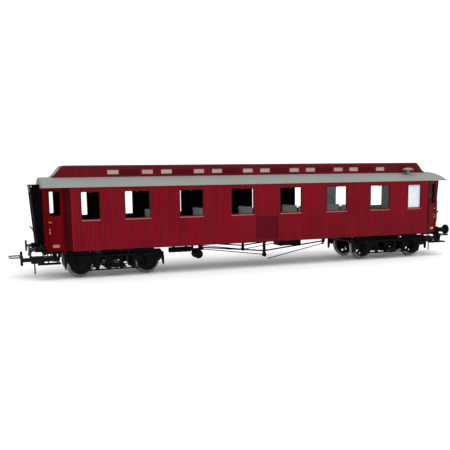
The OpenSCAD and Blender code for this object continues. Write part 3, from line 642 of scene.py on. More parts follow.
def makeLight():
    # even white surroundings, a broad soft sun from above and a weak panel in front; the camera
    # sees the surroundings at their own brightness
    world = bpy.data.worlds.new("studio")
    world.use_nodes = True
    tree = world.node_tree
    tree.nodes.clear()
    seen = tree.nodes.new("ShaderNodeLightPath")
    sky, backdrop = tree.nodes.new("ShaderNodeBackground"), tree.nodes.new("ShaderNodeBackground")
    sky.inputs[1].default_value, backdrop.inputs[1].default_value = lighting["sky"], lighting["backdrop"]
    for shade in (sky, backdrop):
        shade.inputs[0].default_value = (1, 1, 1, 1)
    mix, out = tree.nodes.new("ShaderNodeMixShader"), tree.nodes.new("ShaderNodeOutputWorld")
    tree.links.new(seen.outputs["Is Camera Ray"], mix.inputs[0])
    tree.links.new(sky.outputs[0], mix.inputs[1])
    tree.links.new(backdrop.outputs[0], mix.inputs[2])
    tree.links.new(mix.outputs[0], out.inputs[0])
    bpy.context.scene.world = world
    sun = bpy.data.lights.new("softSun", "SUN")
    sun.energy, sun.angle = lighting["sun"], math.radians(lighting["sunAngle"])
    lamp = bpy.data.objects.new("softSun", sun)
    lamp.rotation_euler = [math.radians(a) for a in lighting["sunTilt"]]
    bpy.context.scene.collection.objects.link(lamp)
    panel = bpy.data.lights.new("frontPanel", "AREA")
    panel.energy, panel.shape = lighting["fill"], "RECTANGLE"
    panel.size, panel.size_y = lighting["fillSize"]
    box = bpy.data.objects.new("frontPanel", panel)
    box.location = lighting["fillPlace"]
    aim = Vector(lighting["fillAim"]) - box.location
    box.rotation_euler = aim.to_track_quat("-Z", "Y").to_euler()
    bpy.context.scene.collection.objects.link(box)


paper = {"rows": 48, "columns": 9, "near": -2.5, "bend": 3.0, "far": 6.0, "half": 6.0, "rise": 2.6,
         "flatShare": 0.6, "glow": 0.09, "colour": tint(250, 250, 250), "second": tint(246, 247, 247)}


def makeFloor():
    # pale floor, flat up to the bend and then rising by rise ((y - bend) / (far - bend))^2
    rows, columns, bend, far = (paper[k] for k in ("rows", "columns", "bend", "far"))
    t = np.linspace(0, 1, rows)[:, None]
    run = np.interp(t, [0, paper["flatShare"], 1], [paper["near"], bend, far])
    lift = np.clip((run - bend) / (far - bend), 0, 1)
    x = np.linspace(-paper["half"], paper["half"], columns)[None]
    grid = np.stack(np.broadcast_arrays(x, run, paper["rise"] * lift ** 2), -1).reshape(-1, 3)
    mesh = bpy.data.meshes.new("floor")
    mesh.from_pydata(grid.tolist(), [], gridFaces(rows, columns).tolist())
    mesh.shade_smooth()
    f = Finish("floorPaper")
    fibre = f.noise(f.place(), 700, 3)
    mesh.materials.append(f.done(Base_Color=f.mix(fibre, paper["colour"], paper["second"]),
                                 Roughness=fibre * 0.1 + 0.8, height=fibre * 1e-5,
                                 Emission_Color=(1, 1, 1, 1), Emission_Strength=paper["glow"]))
    floor = bpy.data.objects.new("floor", mesh)
    bpy.context.scene.collection.objects.link(floor)


makeCamera()
makeLight()
makeFloor()
bpy.context.scene.view_settings.view_transform = "Standard"
print("camera, light and floor made")


# Body sides

boards = {"pitch": coach["windowPitch"] / 24, "groove": 0.21, "proud": 0.09, "ease": 0.09, "top": 0.35,
          "bottom": 0.5, "behindTrim": 0.17, "behindPanel": 0.1, "last": 0.3, "least": 0.05}


def sideBoards():
    # upright boards: strips from one groove to the next, cut at the edges of the windows and the
    # number panel; each has a flat front and two eased edges
    lowZ, highZ = bodyZ + boards["bottom"], eaveZ - boards["top"]
    half = int(wideX / boards["pitch"])
    edges = (np.arange(-half, half + 1) + 0.5) * boards["pitch"]
    edges = edges[edges < wideX - boards["last"]]
    left, right = np.r_[-wideX, edges], np.r_[edges, wideX]
    inset, under = boards["behindTrim"], boards["behindPanel"]
    holes = [(x, coach["windowWidth"]) for x in wideWindows]
    holes += [(s * coach["narrowX"], coach["narrowWidth"]) for s in (-1, 1)]
    holes = [(x - w / 2 - inset, x + w / 2 + inset, coach["sillZ"] - inset,
              coach["sillZ"] + coach["windowHeight"] + inset) for x, w in holes]
    panelLo, panelHi = corners("number_panels")
    holes.append((panelLo[0] + under, panelHi[0] - under, panelLo[2] + under, panelHi[2] - under))
    strips = np.stack([left + boards["groove"] / 2, right - boards["groove"] / 2,
                       np.full(len(left), lowZ), np.full(len(left), highZ)], -1)
    for x0, x1, z0, z1 in holes:
        hit = (strips[:, 0] < x1) & (strips[:, 1] > x0) & (strips[:, 2] < z1) & (strips[:, 3] > z0)
        cut, keep = strips[hit], [strips[~hit]]
        before, after = cut[cut[:, 0] < x0], cut[cut[:, 1] > x1]
        keep.append(np.c_[before[:, 0], np.full(len(before), x0), before[:, 2:]])
        keep.append(np.c_[np.full(len(after), x1), after[:, 1:]])
        inner = np.c_[np.maximum(cut[:, 0], x0), np.minimum(cut[:, 1], x1), cut[:, 2:]]
        keep.append(np.c_[inner[:, :3], np.full(len(inner), z0)])
        keep.append(np.c_[inner[:, :2], np.full(len(inner), z1), inner[:, 3]])
        strips = np.concatenate(keep)
    least = boards["least"]
    strips = strips[(strips[:, 1] - strips[:, 0] > least) & (strips[:, 3] - strips[:, 2] > least)]
    x0, x1, z0, z1 = (c[:, None, None] for c in strips.T)
    ease = np.minimum(boards["ease"], (x1 - x0) / 3)
    across = np.concatenate([x0, x0, x0 + ease, x1 - ease, x1, x1], 2)
    depth = np.array([-sunk, 0.3, 1, 1, 0.3, -sunk]) * [1, *[boards["proud"]] * 4, 1]
    y = np.broadcast_to(-sideY - depth, across.shape)
    points = np.concatenate([np.stack(np.broadcast_arrays(across, y, z), -1) for z in (z0, z1)], 1)
    shift = (np.arange(len(strips)) * 12)[:, None, None]
    caps = np.array([np.arange(6)[::-1], np.arange(6, 12)])
    return points.reshape(-1, 3), [(gridFaces(2, 6, wrapColumns=True)[None] + shift).reshape(-1, 4),
                                   (caps[None] + shift).reshape(-1, 6)]


rails = {"height": 0.42, "proud": 0.13, "cornice": 0.3}


def bodyRails():
    # strip along the bottom edge and a narrow one under the eaves
    return merged(*[strip(-wideX, wideX, -sideY, z, roundedBar(width, rails["proud"])) for z, width in
                    ((bodyZ + rails["height"] / 2, rails["height"]),
                     (eaveZ - rails["cornice"] / 2, rails["cornice"]))])


def beadFrames():
    # glazing bead round the inside of each window opening: a flat rounded frame, deeper along
    # its foot, from rings of points that run round its outer edge and back round its hole
    inner, outer = beads["depth"]
    ease, h = beads["ease"], coach["windowHeight"]
    shapes = []
    for w, places in ((coach["windowWidth"], wideWindows),
                      (coach["narrowWidth"], np.array([-1, 1]) * coach["narrowX"])):
        hole = roundedRectangle(w - 2 * beads["side"], h - beads["foot"] - beads["head"], beads["corner"])
        hole = hole + [0, (beads["foot"] - beads["head"]) / 2]
        edge = roundedRectangle(w + 2 * beads["lap"], h + 2 * beads["lap"], beads["outerCorner"])
        rings = [onSide(uv, 0, coach["sillZ"] + h / 2, -sideY - y) for uv, y in
                 ((edge, inner), (edge, outer - ease), (edge * 0.998, outer), (hole * 1.004, outer),
                  (hole, outer - ease), (hole, inner))]
        bead = np.concatenate(rings), [gridFaces(len(rings), len(edge), wrapRows=True, wrapColumns=True)]
        shapes.append(copies(bead, [[x, 0, 0] for x in places]))
    return merged(*shapes)


catches = {"under": 0.6, "behind": 0.6, "profile": [[0.16, -0.2], [0.22, 0.0], [0.22, 0.3], [0.12, 0.4]]}


def windowCatches():
    # small turned knob at the top of each window but the lavatory's, inside the opening
    z = coach["sillZ"] + coach["windowHeight"] - catches["under"]
    spots = [[x, catches["behind"] - sideY, z] for x in (*wideWindows, -coach["narrowX"])]
    return turnings(catches["profile"], spots, 12, "y")


panel = {"inset": 0.25, "corner": 0.3, "bar": 0.28, "proud": 0.07, "screw": 0.2, "screwInset": 0.6}


def panelBorder():
    # raised border round the blank number panel, with a small screw in each corner
    lo, hi = corners("number_panels")
    w, h = (hi - lo)[[0, 2]] - 2 * panel["inset"]
    x, z = (lo + hi)[[0, 2]] / 2
    around = border(w, h, panel["corner"], x, z, lo[1], roundedBar(panel["bar"], panel["proud"], 0.03))
    a, b = w / 2 - panel["screwInset"], h / 2 - panel["screwInset"]
    return merged(around, rivets([[x + p * a, lo[1], z + q * b] for p in (-1, 1) for q in (-1, 1)],
                                 panel["screw"], 0.1))


for name, shape, slot, finish in (
        ("side_boards", sideBoards(), "body_paint", "boardPaint"),
        ("body_rails", bodyRails(), "body_paint", "boardPaint"),
        ("window_beads", beadFrames(), "moulding", "windowTrim"),
        ("window_catches", windowCatches(), "moulding", "ballastSteel"),
        ("number_panel_borders", panelBorder(), "dark_paint", "panelPaint")):
    newPiece(name, bothSides(shape), "coach_body", made[finish])
print("body sides made")


# Vestibules and doors

doors = {"frame": 0.34, "frameProud": 0.1, "ease": 0.04, "corner": 0.45, "panelCorner": 0.4,
         "panelLow": 2.4, "panelHigh": 11.2, "windowRise": 2.0, "hingeZ": (15.6, 25.0, 35.2),
         "hinge": [[0.2, -0.55], [0.24, -0.5], [0.24, 0.5], [0.2, 0.55]]}


def onDoor(points):
    # local u along the slanted side, v inwards and z, turned to the near front corner of the coach
    u, v, z = np.asarray(points, float).reshape(-1, 3).T
    c, s = math.cos(doorTurn), math.sin(doorTurn)
    return np.stack([coach["revealX"] + u * c - v * s, -coach["revealY"] + u * s + v * c, z], -1)


def doorFrames():
    # mouldings round the window and the lower panel of an entrance door, and its three hinges
    foot = corners("entrance_doors")[0][2]
    middle, face = doorLine / 2, coach["doorRecess"]
    low, high = foot + doors["panelLow"], foot + doors["panelHigh"]
    sill, head = coach["sillZ"] + doors["windowRise"], coach["sillZ"] + coach["windowHeight"]
    bar = roundedBar(doors["frame"], doors["frameProud"], doors["ease"])
    w = coach["doorWindow"] + doors["frame"]
    side = middle - coach["doorWidth"] / 2
    return merged(
        border(w, head - sill + doors["frame"], doors["corner"], middle, (sill + head) / 2, face, bar),
        border(w, high - low, doors["panelCorner"], middle, (low + high) / 2, face, bar),
        turnings(doors["hinge"], [[side, face - 0.12, z] for z in doors["hingeZ"]], 10))


handles = {"inset": 0.9, "z": 24.0, "plateZ": (20.9, 19.6), "plate": (0.24, 0.12, 0.45), "lever": 0.15,
           "stem": [[0.14, 0.0], [0.14, -0.5]], "rose": [[0.42, sunk], [0.42, -0.1], [0.3, -0.18]],
           "path": [[0, -0.45, 0], [-0.5, -0.5, 0.02], [-1.3, -0.46, -0.06]]}


def doorHandles():
    # lever on a rose, with two keyhole plates under it
    u, face = (doorLine + coach["doorWidth"]) / 2 - handles["inset"], coach["doorRecess"]
    spot = np.array([u, face, handles["z"]])
    lever = sweep(spot + handles["path"], circle(handles["lever"], 8), (0, 0, 1))
    w, t, h = handles["plate"]
    plates = copies(boxes([-w, -t, -h], [w, sunk, h]), [[u, face, z] for z in handles["plateZ"]])
    return merged(turnings(handles["rose"], spot, 14, "y"), turnings(handles["stem"], spot, 8, "y"),
                  lever, plates)


grabs = {"radius": 0.15, "stand": 0.5, "inset": 0.55, "low": 17.2, "high": 28.2, "bend": 0.6,
         "foot": [[0.32, sunk], [0.32, -0.07], [0.2, -0.12]]}


def grabRails():
    # upright rails on both sides of the door, bent into the wall at their ends
    out, low, high, bend = (grabs[k] for k in ("stand", "low", "high", "bend"))
    shapes = []
    for u in (grabs["inset"], doorLine - grabs["inset"]):
        path = [[u, 0.05, low], [u, -out * bend, low + 0.1], [u, -out, low + bend], [u, -out, high - bend],
                [u, -out * bend, high - 0.1], [u, 0.05, high]]
        shapes.append(sweep(path, circle(grabs["radius"], 8), (1, 0, 0)))
        shapes.append(turnings(grabs["foot"], [[u, 0, low], [u, 0, high]], 10, "y"))
    return merged(*shapes)


kick = {"height": 0.4, "proud": 0.1, "gap": 0.05}


def vestibuleRails():
    # strip along the bottom of the slanted wall
    z = bodyZ + kick["height"] / 2
    path = onDoor([[kick["gap"], 0, z], [doorLine - kick["gap"], 0, z]])
    outwards = (math.sin(doorTurn), -math.cos(doorTurn), 0)
    return sweep(path, roundedBar(kick["height"], kick["proud"]), outwards)


endDoors = {"width": 4.4, "lower": 1.6, "corner": 0.4, "panelHeight": 7.6, "panelZ": 19.4, "bar": 0.3,
            "proud": 0.1, "hingeY": 3.3, "hingeZ": (17, 26, 34),
            "hinge": [[0.18, -0.5], [0.22, -0.45], [0.22, 0.45], [0.18, 0.5]]}


def endDoorDetails():
    # frame round the window of the end door, its lower panel and its three hinges
    x = corners("end_doors")[1][0]
    bar = roundedBar(endDoors["bar"], endDoors["proud"], doors["ease"])
    spots = [[x + 0.1, endDoors["hingeY"], z] for z in endDoors["hingeZ"]]
    shapes = [turnings(endDoors["hinge"], spots, 10)]
    for h, z in ((coach["windowHeight"] - endDoors["lower"], coach["sillZ"] + coach["windowHeight"] / 2),
                 (endDoors["panelHeight"], endDoors["panelZ"])):
        uv = roundedRectangle(endDoors["width"], h, endDoors["corner"])
        path = np.stack([np.full(len(uv), x), uv[:, 0], uv[:, 1] + z], -1)
        shapes.append(sweep(path, bar, (1, 0, 0), True))
    return merged(*shapes)


for name, shape, slot, finish in (("door_mouldings", doorFrames(), "dark_paint", "doorPaint"),
                                  ("door_handles", doorHandles(), "moulding", "brass"),
                                  ("grab_rails", grabRails(), "dark_paint", "vestibulePaint")):
    newPiece(name, fourCorners((onDoor(shape[0]), shape[1])), "coach_body", made[finish])
newPiece("vestibule_rails", fourCorners(vestibuleRails()), "coach_body",
         made["vestibulePaint"])
newPiece("end_door_details", bothEnds(endDoorDetails()), "coach_body", made["endPaint"])
print("vestibules and doors made")


# Roof and clerestory

roofLo, roofHi = corners("lower_roof")
gutter = {"half": 0.2, "proud": 0.16, "ease": 0.1, "in": 0.02}


def eaveGutters():
    # half-round lip along each eave
    h, out, ease = gutter["half"], gutter["proud"], gutter["ease"]
    profile = np.array([[h, 0], [h, ease], [h - ease, out], [ease - h, out], [-h, ease], [-h, 0]])
    return strip(-roofHi[0], roofHi[0], roofLo[1] + gutter["in"], roofLo[2] + h, profile)


clerestory = {"foot": 93.2, "top": 88.0, "rise": 4.4, "edgeUp": 0.34, "edgeDown": 0.1, "edgeProud": 0.1,
              "windowOffset": 7.6, "windowWidth": 5.0, "trim": 0.16, "trimProud": 0.07, "trimCorner": 0.25}
opalLo, opalHi = corners("clerestory_glass")


def clerestoryEdges():
    # bead along the side edge of the clerestory roof, following the smooth-step curve of its ends
    lo, hi = corners("clerestory_roof")
    k = np.linspace(0, 1, 13)
    rise = clerestory["rise"]
    end = np.stack([clerestory["foot"] + (clerestory["top"] - clerestory["foot"]) * k,
                    np.full(13, lo[1]), hi[2] - rise + rise * k * k * (3 - 2 * k)], -1)
    path = np.concatenate([end * [-1, 1, 1], end[::-1]])
    up, down, proud = clerestory["edgeUp"], clerestory["edgeDown"], clerestory["edgeProud"]
    profile = [[-up, -0.3], [-up, proud - 0.05], [-up + 0.08, proud], [down, proud], [down, -0.3]]
    return sweep(path, profile, (0, -1, 0))


def clerestoryTrims():
    # thin raised rim round each opal window
    z, h = (opalLo[2] + opalHi[2]) / 2, opalHi[2] - opalLo[2]
    one = border(clerestory["windowWidth"] + 0.1, h + 0.1, clerestory["trimCorner"], 0, z,
                 corners("clerestory_walls")[0][1],
                 roundedBar(clerestory["trim"], clerestory["trimProud"], 0.03))
    return copies(one, [[x + s * clerestory["windowOffset"], 0, 0] for x in wideWindows for s in (-1, 1)])


flaps = {"width": 8.6, "rim": 0.26, "rimProud": 0.14, "cheek": 0.12, "slatEnd": 0.2, "slatAt": (0.25, 0.6),
         "slat": [[-0.3, -sunk], [-0.3, 0.12], [-0.18, 0.12], [0.3, 0.0], [0.3, -sunk]]}
flapLo, flapHi = corners("clerestory_louvres")


def flapRims():
    # raised top edge and side cheeks of each ventilator flap
    y, w, c = flapLo[1], flaps["width"] / 2, flaps["cheek"]
    top = strip(-w, w, y, flapHi[2], roundedBar(flaps["rim"], flaps["rimProud"], 0.05))
    cheeks = boxes([[s * w - c, y - 0.06, flapLo[2]] for s in (-1, 1)],
                   [[s * w + c, y + 0.1, flapHi[2]] for s in (-1, 1)])
    return copies(merged(top, cheeks), [[x, 0, 0] for x in wideWindows])


def flapSlats():
    # two sloping slats on each flap
    w, h = flaps["width"] / 2 - flaps["slatEnd"], flapHi[2] - flapLo[2]
    slats = [strip(-w, w, flapLo[1], flapLo[2] + h * at, flaps["slat"]) for at in flaps["slatAt"]]
    return copies(merged(*slats), [[x, 0, 0] for x in wideWindows])


vent = {"rimWire": 0.12, "rimDown": 0.9, "collarUp": 0.55, "knob": (0.45, 0.25),
        "collar": [[1.25, 0], [1.25, 0.25], [0.95, 0.5], [0.85, 0.5]]}


def ventDetails():
    # turned ring round the cap, a collar at the foot and a knob on top of the roof ventilator
    lo, hi = corners("roof_vent")
    x, y = (lo[0] + hi[0]) / 2, (lo[1] + hi[1]) / 2
    rim = ring((hi[0] - lo[0]) / 2 - vent["rimWire"], vent["rimWire"], 40)
    return merged(copies(rim, [[x, y, hi[2] - vent["rimDown"]]]),
                  turnings(vent["collar"], [[x, y, lo[2] + vent["collarUp"]]], 20),
                  rivets([[x, y, hi[2] - 0.05]], *vent["knob"], "z", 1, 12))


for name, shape, slot, finish in (
        ("eave_gutters", eaveGutters(), "roof_paint", "gutterPaint"),
        ("clerestory_edges", clerestoryEdges(), "roof_paint", "edgeBead"),
        ("clerestory_trims", clerestoryTrims(), "body_paint", "clerestoryShadedPaint"),
        ("flap_rims", flapRims(), "body_paint", "clerestoryShadedPaint"),
        ("flap_slats", flapSlats(), "dark_paint", "flapPaint")):
    newPiece(name, bothSides(shape), "coach_body", made[finish])
newPiece("vent_details", ventDetails(), "coach_body", made["roofPaint"])
print("roof made")


# Gangways

bellowsLo, bellowsHi = corners("gangway_bellows")
bellows = {"folds": 7, "deep": 0.42, "wall": 0.42, "corner": 1.3, "inset": 0.05, "startGap": 0.06,
           "overRoof": 0.72, "endGap": 0.1, "tuck": 0.8}
gangway = {"leanFoot": 2.6, "leanTop": 4.2, "frame": 0.6, "rivet": 0.2, "rivets": 12, "rivetY": 5.05,
           "pivot": (3.3, 5.4, 19.6), "grip": (5.3, -5.4, 22.1),
           "boss": [[0.42, -0.35], [0.5, -0.2], [0.5, 0.2], [0.42, 0.35]],
           "gripProfile": [[0.2, -0.3], [0.34, -0.2], [0.36, 0.1], [0.22, 0.3]]}


def gangwayLean(lift):
    # distance of the leaning frame's back from the end wall, from its foot (0) to its top (1)
    return gangway["leanFoot"] + (gangway["leanTop"] - gangway["leanFoot"]) * lift


def pleatedBellows():
    # an arch-shaped outline carried outwards from the end wall; its distance from the middle
    # follows a wave with one crest for each fold, outside first and then back along the inside
    half, top, foot = bellowsHi[1] - bellows["inset"], bellowsHi[2] - bellows["inset"], bellowsLo[2]
    r = bellows["corner"]
    turn = np.linspace(0, math.pi / 2, 9)
    up = np.linspace(foot, top - r, 26)[:-1]
    left = np.stack([np.full(len(up), -half), up], -1)
    corner = np.stack([-half + r - r * np.cos(turn), top - r + r * np.sin(turn)], -1)
    side = np.concatenate([left, corner, [[0, top]]])
    outline = np.concatenate([side, (side * [-1, 1])[-2::-1]])
    along = unit(np.gradient(outline, axis=0))
    inward = np.stack([along[:, 1], -along[:, 0]], -1)
    steps = bellows["folds"] * 6 + 1
    s = np.linspace(0, 1, steps)
    wave = bellows["deep"] * (0.5 + 0.5 * np.cos(s * bellows["folds"] * math.tau))
    drop = np.concatenate([wave, wave[::-1] + bellows["wall"]])
    s = np.concatenate([s, s[::-1]])
    yz = outline[None] + inward[None] * drop[:, None, None]
    z = outline[:, 1]
    lift = np.clip((z - foot) / (top - foot), 0, 1)
    start = endX + bellows["startGap"] + bellows["overRoof"] * np.clip((z - (eaveZ - 0.8)) / 0.5, 0, 1)
    end = endX + gangwayLean(lift) - bellows["endGap"] - bellows["tuck"] * lift ** 4
    x = start[None] + (end - start)[None] * s[:, None]
    points = np.concatenate([x[..., None], yz], -1)
    rows, columns = points.shape[:2]
    faces = [gridFaces(rows, columns, wrapRows=True)]
    k = np.arange(steps - 1)
    for column in (0, columns - 1):
        back = rows - 1 - k
        faces.append(np.stack([k, k + 1, back - 1, back], -1) * columns + column)
    return points.reshape(-1, 3), faces


def gangwayFittings():
    # rivets up both legs of the leaning frame, a pivot boss on each leg and a grip on one of them
    foot, top = bellowsLo[2], bellowsHi[2]
    z = np.linspace(foot + 0.8, top - 1.4, gangway["rivets"])
    x = endX + gangwayLean((z - foot) / (top - foot)) + gangway["frame"]
    spots = [[a, s * gangway["rivetY"], b] for a, b in zip(x, z) for s in (-1, 1)]
    px, py, pz = gangway["pivot"]
    gx, gy, gz = gangway["grip"]
    return merged(rivets(spots, gangway["rivet"], 0.12, "x", 1),
                  turnings(gangway["boss"], [[endX + px, s * py, pz] for s in (-1, 1)], 14, "y"),
                  turnings(gangway["gripProfile"], [[endX + gx, gy, gz]], 12, "x"))


pleats = newPiece("pleated_bellows", bothEnds(pleatedBellows()), "coach_body",
                  made["bellowsRubber"], crease=60)
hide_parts("gangway_bellows")
newPiece("gangway_fittings", bothEnds(gangwayFittings()), "coach_body",
         made["blackMoulding"])
print("gangways made")


# Underframe

soleRivets = {"pitch": 2.5, "each": 34, "y": 13.8, "down": 0.3, "radius": 0.16,
              "boltX": 1.0, "boltY": (4.2, 7.4, 11.4), "boltZ": (11.2, 13.4), "bolt": 0.24}


def underframeRivets():
    # rivets along the solebars, and bolts on the headstocks
    x = np.arange(-soleRivets["each"], soleRivets["each"] + 1) * soleRivets["pitch"]
    row = rivets([[a, -soleRivets["y"], bodyZ - soleRivets["down"]] for a in x], soleRivets["radius"], 0.1)
    spots = [[endX + soleRivets["boltX"], y, z] for y in soleRivets["boltY"] for z in soleRivets["boltZ"]]
    return merged(bothSides(row), fourCorners(rivets(spots, soleRivets["bolt"], 0.16, "x", 1, 6)))


ribs = {"count": 9, "half": 0.35, "reach": 12.5, "deep": 0.55, "alongX": 50, "alongY": 4, "alongDeep": 0.4}


def crossRibs():
    # shallow ribs across the underside of the floor, and two along it
    floor, h, n = corners("floor_plate")[0][2], ribs["half"], ribs["count"]
    x = (np.arange(n) - n // 2) * coach["windowPitch"] / 2
    lo = np.stack([x - h, np.full(n, -ribs["reach"]), np.full(n, floor - ribs["deep"])], -1)
    hi = np.stack([x + h, np.full(n, ribs["reach"]), np.full(n, floor + 0.02)], -1)
    along = boxes([[-ribs["alongX"], s * ribs["alongY"] - h, floor - ribs["alongDeep"]] for s in (-1, 1)],
                  [[ribs["alongX"], s * ribs["alongY"] + h, floor + 0.02] for s in (-1, 1)])
    return merged(boxes(lo, hi), along)


treads = {"inner": -5.6, "outer": 3.6, "end": 0.15, "top": 0.6, "ridges": 6, "pitch": 0.45, "half": 0.08,
          "boltX": (-4.2, -0.7), "boltY": 1.5}


def stepTreads():
    # ridges along the top of each step board, and two bolts under it
    board = corners("step_boards")[0]
    n, z = treads["ridges"], board[2] + treads["top"]
    y = board[1] + np.arange(n) * treads["pitch"] + 0.2
    x0, x1 = endX + treads["inner"] + treads["end"], endX + treads["outer"] - treads["end"]
    lo = np.stack([np.full(n, x0), y - treads["half"], np.full(n, z - sunk)], -1)
    hi = np.stack([np.full(n, x1), y + treads["half"], np.full(n, z + 0.1)], -1)
    spots = [[endX + x, board[1] + treads["boltY"], z - treads["top"]] for x in treads["boltX"]]
    return merged(boxes(lo, hi), rivets(spots, 0.2, 0.15, "z", -1, 6))


battery = {"corner": 0.3, "bar": 0.26, "proud": 0.12, "hingeX": 1.4, "latch": (0.22, 0.5, 1.1),
           "strap": 0.35, "strapIn": 0.9, "strapDeep": 0.12,
           "hinge": [[0.12, -0.4], [0.16, -0.35], [0.16, 0.35], [0.12, 0.4]]}


def batteryDetails():
    # two doors with borders, hinges and a latch on the outer side, and two straps round the box
    lo, hi = corners("battery_box")
    w, h = (hi[0] - lo[0]) / 2, hi[2] - lo[2]
    bar = roundedBar(battery["bar"], battery["proud"], 0.05)
    half, low, high = battery["latch"]
    shapes = []
    for x in (lo[0] + w / 2, hi[0] - w / 2):
        shapes.append(border(w - 0.7, h - 1.0, battery["corner"], x, lo[2] + h / 2 - 0.1, lo[1], bar))
        spots = [[x + s * battery["hingeX"], lo[1] - 0.12, lo[2] + h - 0.35] for s in (-1, 1)]
        shapes.append(turnings(battery["hinge"], spots, 8, "x"))
        shapes.append(boxes([x - half, lo[1] - 0.2, lo[2] + low], [x + half, lo[1] + 0.02, lo[2] + high]))
    s, deep = battery["strap"], battery["strapDeep"]
    at = (lo[0] + battery["strapIn"], hi[0] - battery["strapIn"])
    shapes.append(boxes([[x - s, lo[1] - 0.08, lo[2] - deep] for x in at],
                        [[x + s, hi[1] + 0.08, lo[2] + 0.02] for x in at]))
    sides = (lo[1] - 0.1, hi[1] - 0.02)
    shapes.append(boxes([[x - s, y, lo[2] - deep] for x in at for y in sides],
                        [[x + s, y + deep, hi[2]] for x in at for y in sides]))
    return merged(*shapes)


tank = {"dome": 0.35, "bandAt": (0.2, 0.5, 0.77), "band": 0.25, "proud": 0.08}


def tankDetails():
    # domed ends and three bands round the gas tank, on its own axis
    lo, hi = corners("gas_tank")
    r, b = (hi[1] - lo[1]) / 2, tank["band"]
    y, z = (lo[1] + hi[1]) / 2, lo[2] + r
    k = np.linspace(0, 80, 6)[:, None] * math.pi / 180
    end = lathe(np.concatenate([[[r, -0.05]], np.c_[r * np.cos(k), tank["dome"] * np.sin(k)]]), 24, "x")
    band = [[r, -b], [r + tank["proud"], sunk - b], [r + tank["proud"], b - sunk], [r, b]]
    return merged(copies(end, [[hi[0], y, z]]), copies(flipped(end, (-1, 1, 1)), [[lo[0], y, z]]),
                  turnings(band, [[lo[0] + f * (hi[0] - lo[0]), y, z] for f in tank["bandAt"]], 28, "x"))


dynamo = {"radius": 1.9, "ribs": 6, "ribEnd": 0.5, "bolts": 6, "boltAt": 1.6,
          "cover": [[1.5, 0.02], [1.45, -0.12], [0.5, -0.2], [0.4, -0.2]],
          "pulley": [[0.3, 0], [0.3, 0.3], [1.1, 0.3], [1.1, 0.4], [0.85, 0.55], [1.1, 0.7], [1.1, 0.8],
                     [0.3, 0.8]]}


def dynamoDetails():
    # cooling ribs, a belt pulley on the inner end, and a cover with its bolts on the outer end
    lo, hi = corners("dynamo")
    r = dynamo["radius"]
    x, z = (lo[0] + hi[0]) / 2, lo[2] + r
    rib = [[r, -0.12], [r + 0.1, -0.08], [r + 0.1, 0.08], [r, 0.12]]
    rows = np.linspace(lo[1] + dynamo["ribEnd"], hi[1] - dynamo["ribEnd"], dynamo["ribs"])
    n, at = dynamo["bolts"], dynamo["boltAt"]
    angle = np.arange(n) * math.tau / n
    spots = np.stack([x + at * np.cos(angle), np.full(n, lo[1]), z + at * np.sin(angle)], -1)
    return merged(turnings(rib, [[x, y, z] for y in rows], 32, "y"),
                  turnings(dynamo["cover"], [[x, lo[1], z]], 28, "y"),
                  rivets(spots, 0.16, 0.12, sides=6), turnings(dynamo["pulley"], [[x, hi[1], z]], 24, "y"))


truss = {"y": -13.2, "low": 7.5, "run": 31.0, "down": 1.5, "at": 0.55, "nutZ": 5.7, "foot": (1.0, 0.55),
         "sleeve": [[0.3, -1.5], [0.5, -1.3], [0.5, -0.9], [0.42, -0.8], [0.42, 0.8], [0.5, 0.9],
                    [0.5, 1.3], [0.3, 1.5]],
         "nut": [[0.5, sunk], [0.5, -0.25], [0.25, -0.3], [0.25, -0.45]]}


def trussDetails():
    # turnbuckle in the middle of each sloping rod, and a nut and a foot plate on the king post
    y, low, run, at = (truss[k] for k in ("y", "low", "run", "at"))
    rise = bodyZ - truss["down"] - low
    slope = math.atan2(rise, run)
    points, faces = lathe(truss["sleeve"], 6, "x")
    points = points @ np.array([[math.cos(slope), 0, math.sin(slope)], [0, 1, 0],
                                [-math.sin(slope), 0, math.cos(slope)]])
    sleeves = [copies((points * [s, 1, 1], faces), [[s * run * at, y, low + rise * at]]) for s in (1, -1)]
    w, d = truss["foot"]
    return merged(*sleeves, turnings(truss["nut"], [[0, y - 0.7, truss["nutZ"]]], 6, "y"),
                  boxes([-w, y - d, bodyZ - 0.9], [w, y + d, bodyZ - 0.62]))


for name, shape, bevel in (
        ("underframe_rivets", underframeRivets(), 0.0),
        ("cross_ribs", crossRibs(), 0.06),
        ("step_treads", fourCorners(stepTreads()), 0.0),
        ("battery_details", batteryDetails(), 0.03),
        ("tank_details", tankDetails(), 0.0),
        ("dynamo_details", dynamoDetails(), 0.0),
        ("truss_details", bothSides(trussDetails()), 0.0)):
    newPiece(name, shape, "coach_body", made["blackMoulding"], bevel)
print("underframe made")


# Ends

bufferLo, bufferHi = corners("buffer_heads")
buffers = {"radius": 2.5, "dish": (1.9, 0.12), "collar": (1.15, 0.16), "base": 1.5, "collarAt": 2.6,
           "rodAt": 2.75, "boltAt": 0.92, "rod": [[0.65, 0], [0.8, 0.1], [0.8, 0.35], [0.65, 0.45]]}


def bufferDetails():
    # dished face, spring collar and four bolts on the base of each buffer
    y, z = bufferHi[1] - buffers["radius"], (bufferLo[2] + bufferHi[2]) / 2
    k = np.linspace(0, 1, 6)[:, None]
    wide, deep = buffers["dish"]
    dish = np.concatenate([[[buffers["radius"], -0.2]],
                           np.c_[buffers["radius"] - wide * k, deep * np.sin(k * math.pi / 2)]])
    base, a = endX + buffers["base"], buffers["boltAt"]
    spots = [[base, y + p, z + q] for p in (-a, a) for q in (-a, a)]
    return merged(turnings(dish, [[bufferHi[0], y, z]], 36, "x"),
                  copies(ring(*buffers["collar"], 24, "x"), [[base + buffers["collarAt"], y, z]]),
                  turnings(buffers["rod"], [[base + buffers["rodAt"], y, z]], 18, "x"),
                  rivets(spots, 0.2, 0.14, "x", 1, 6))


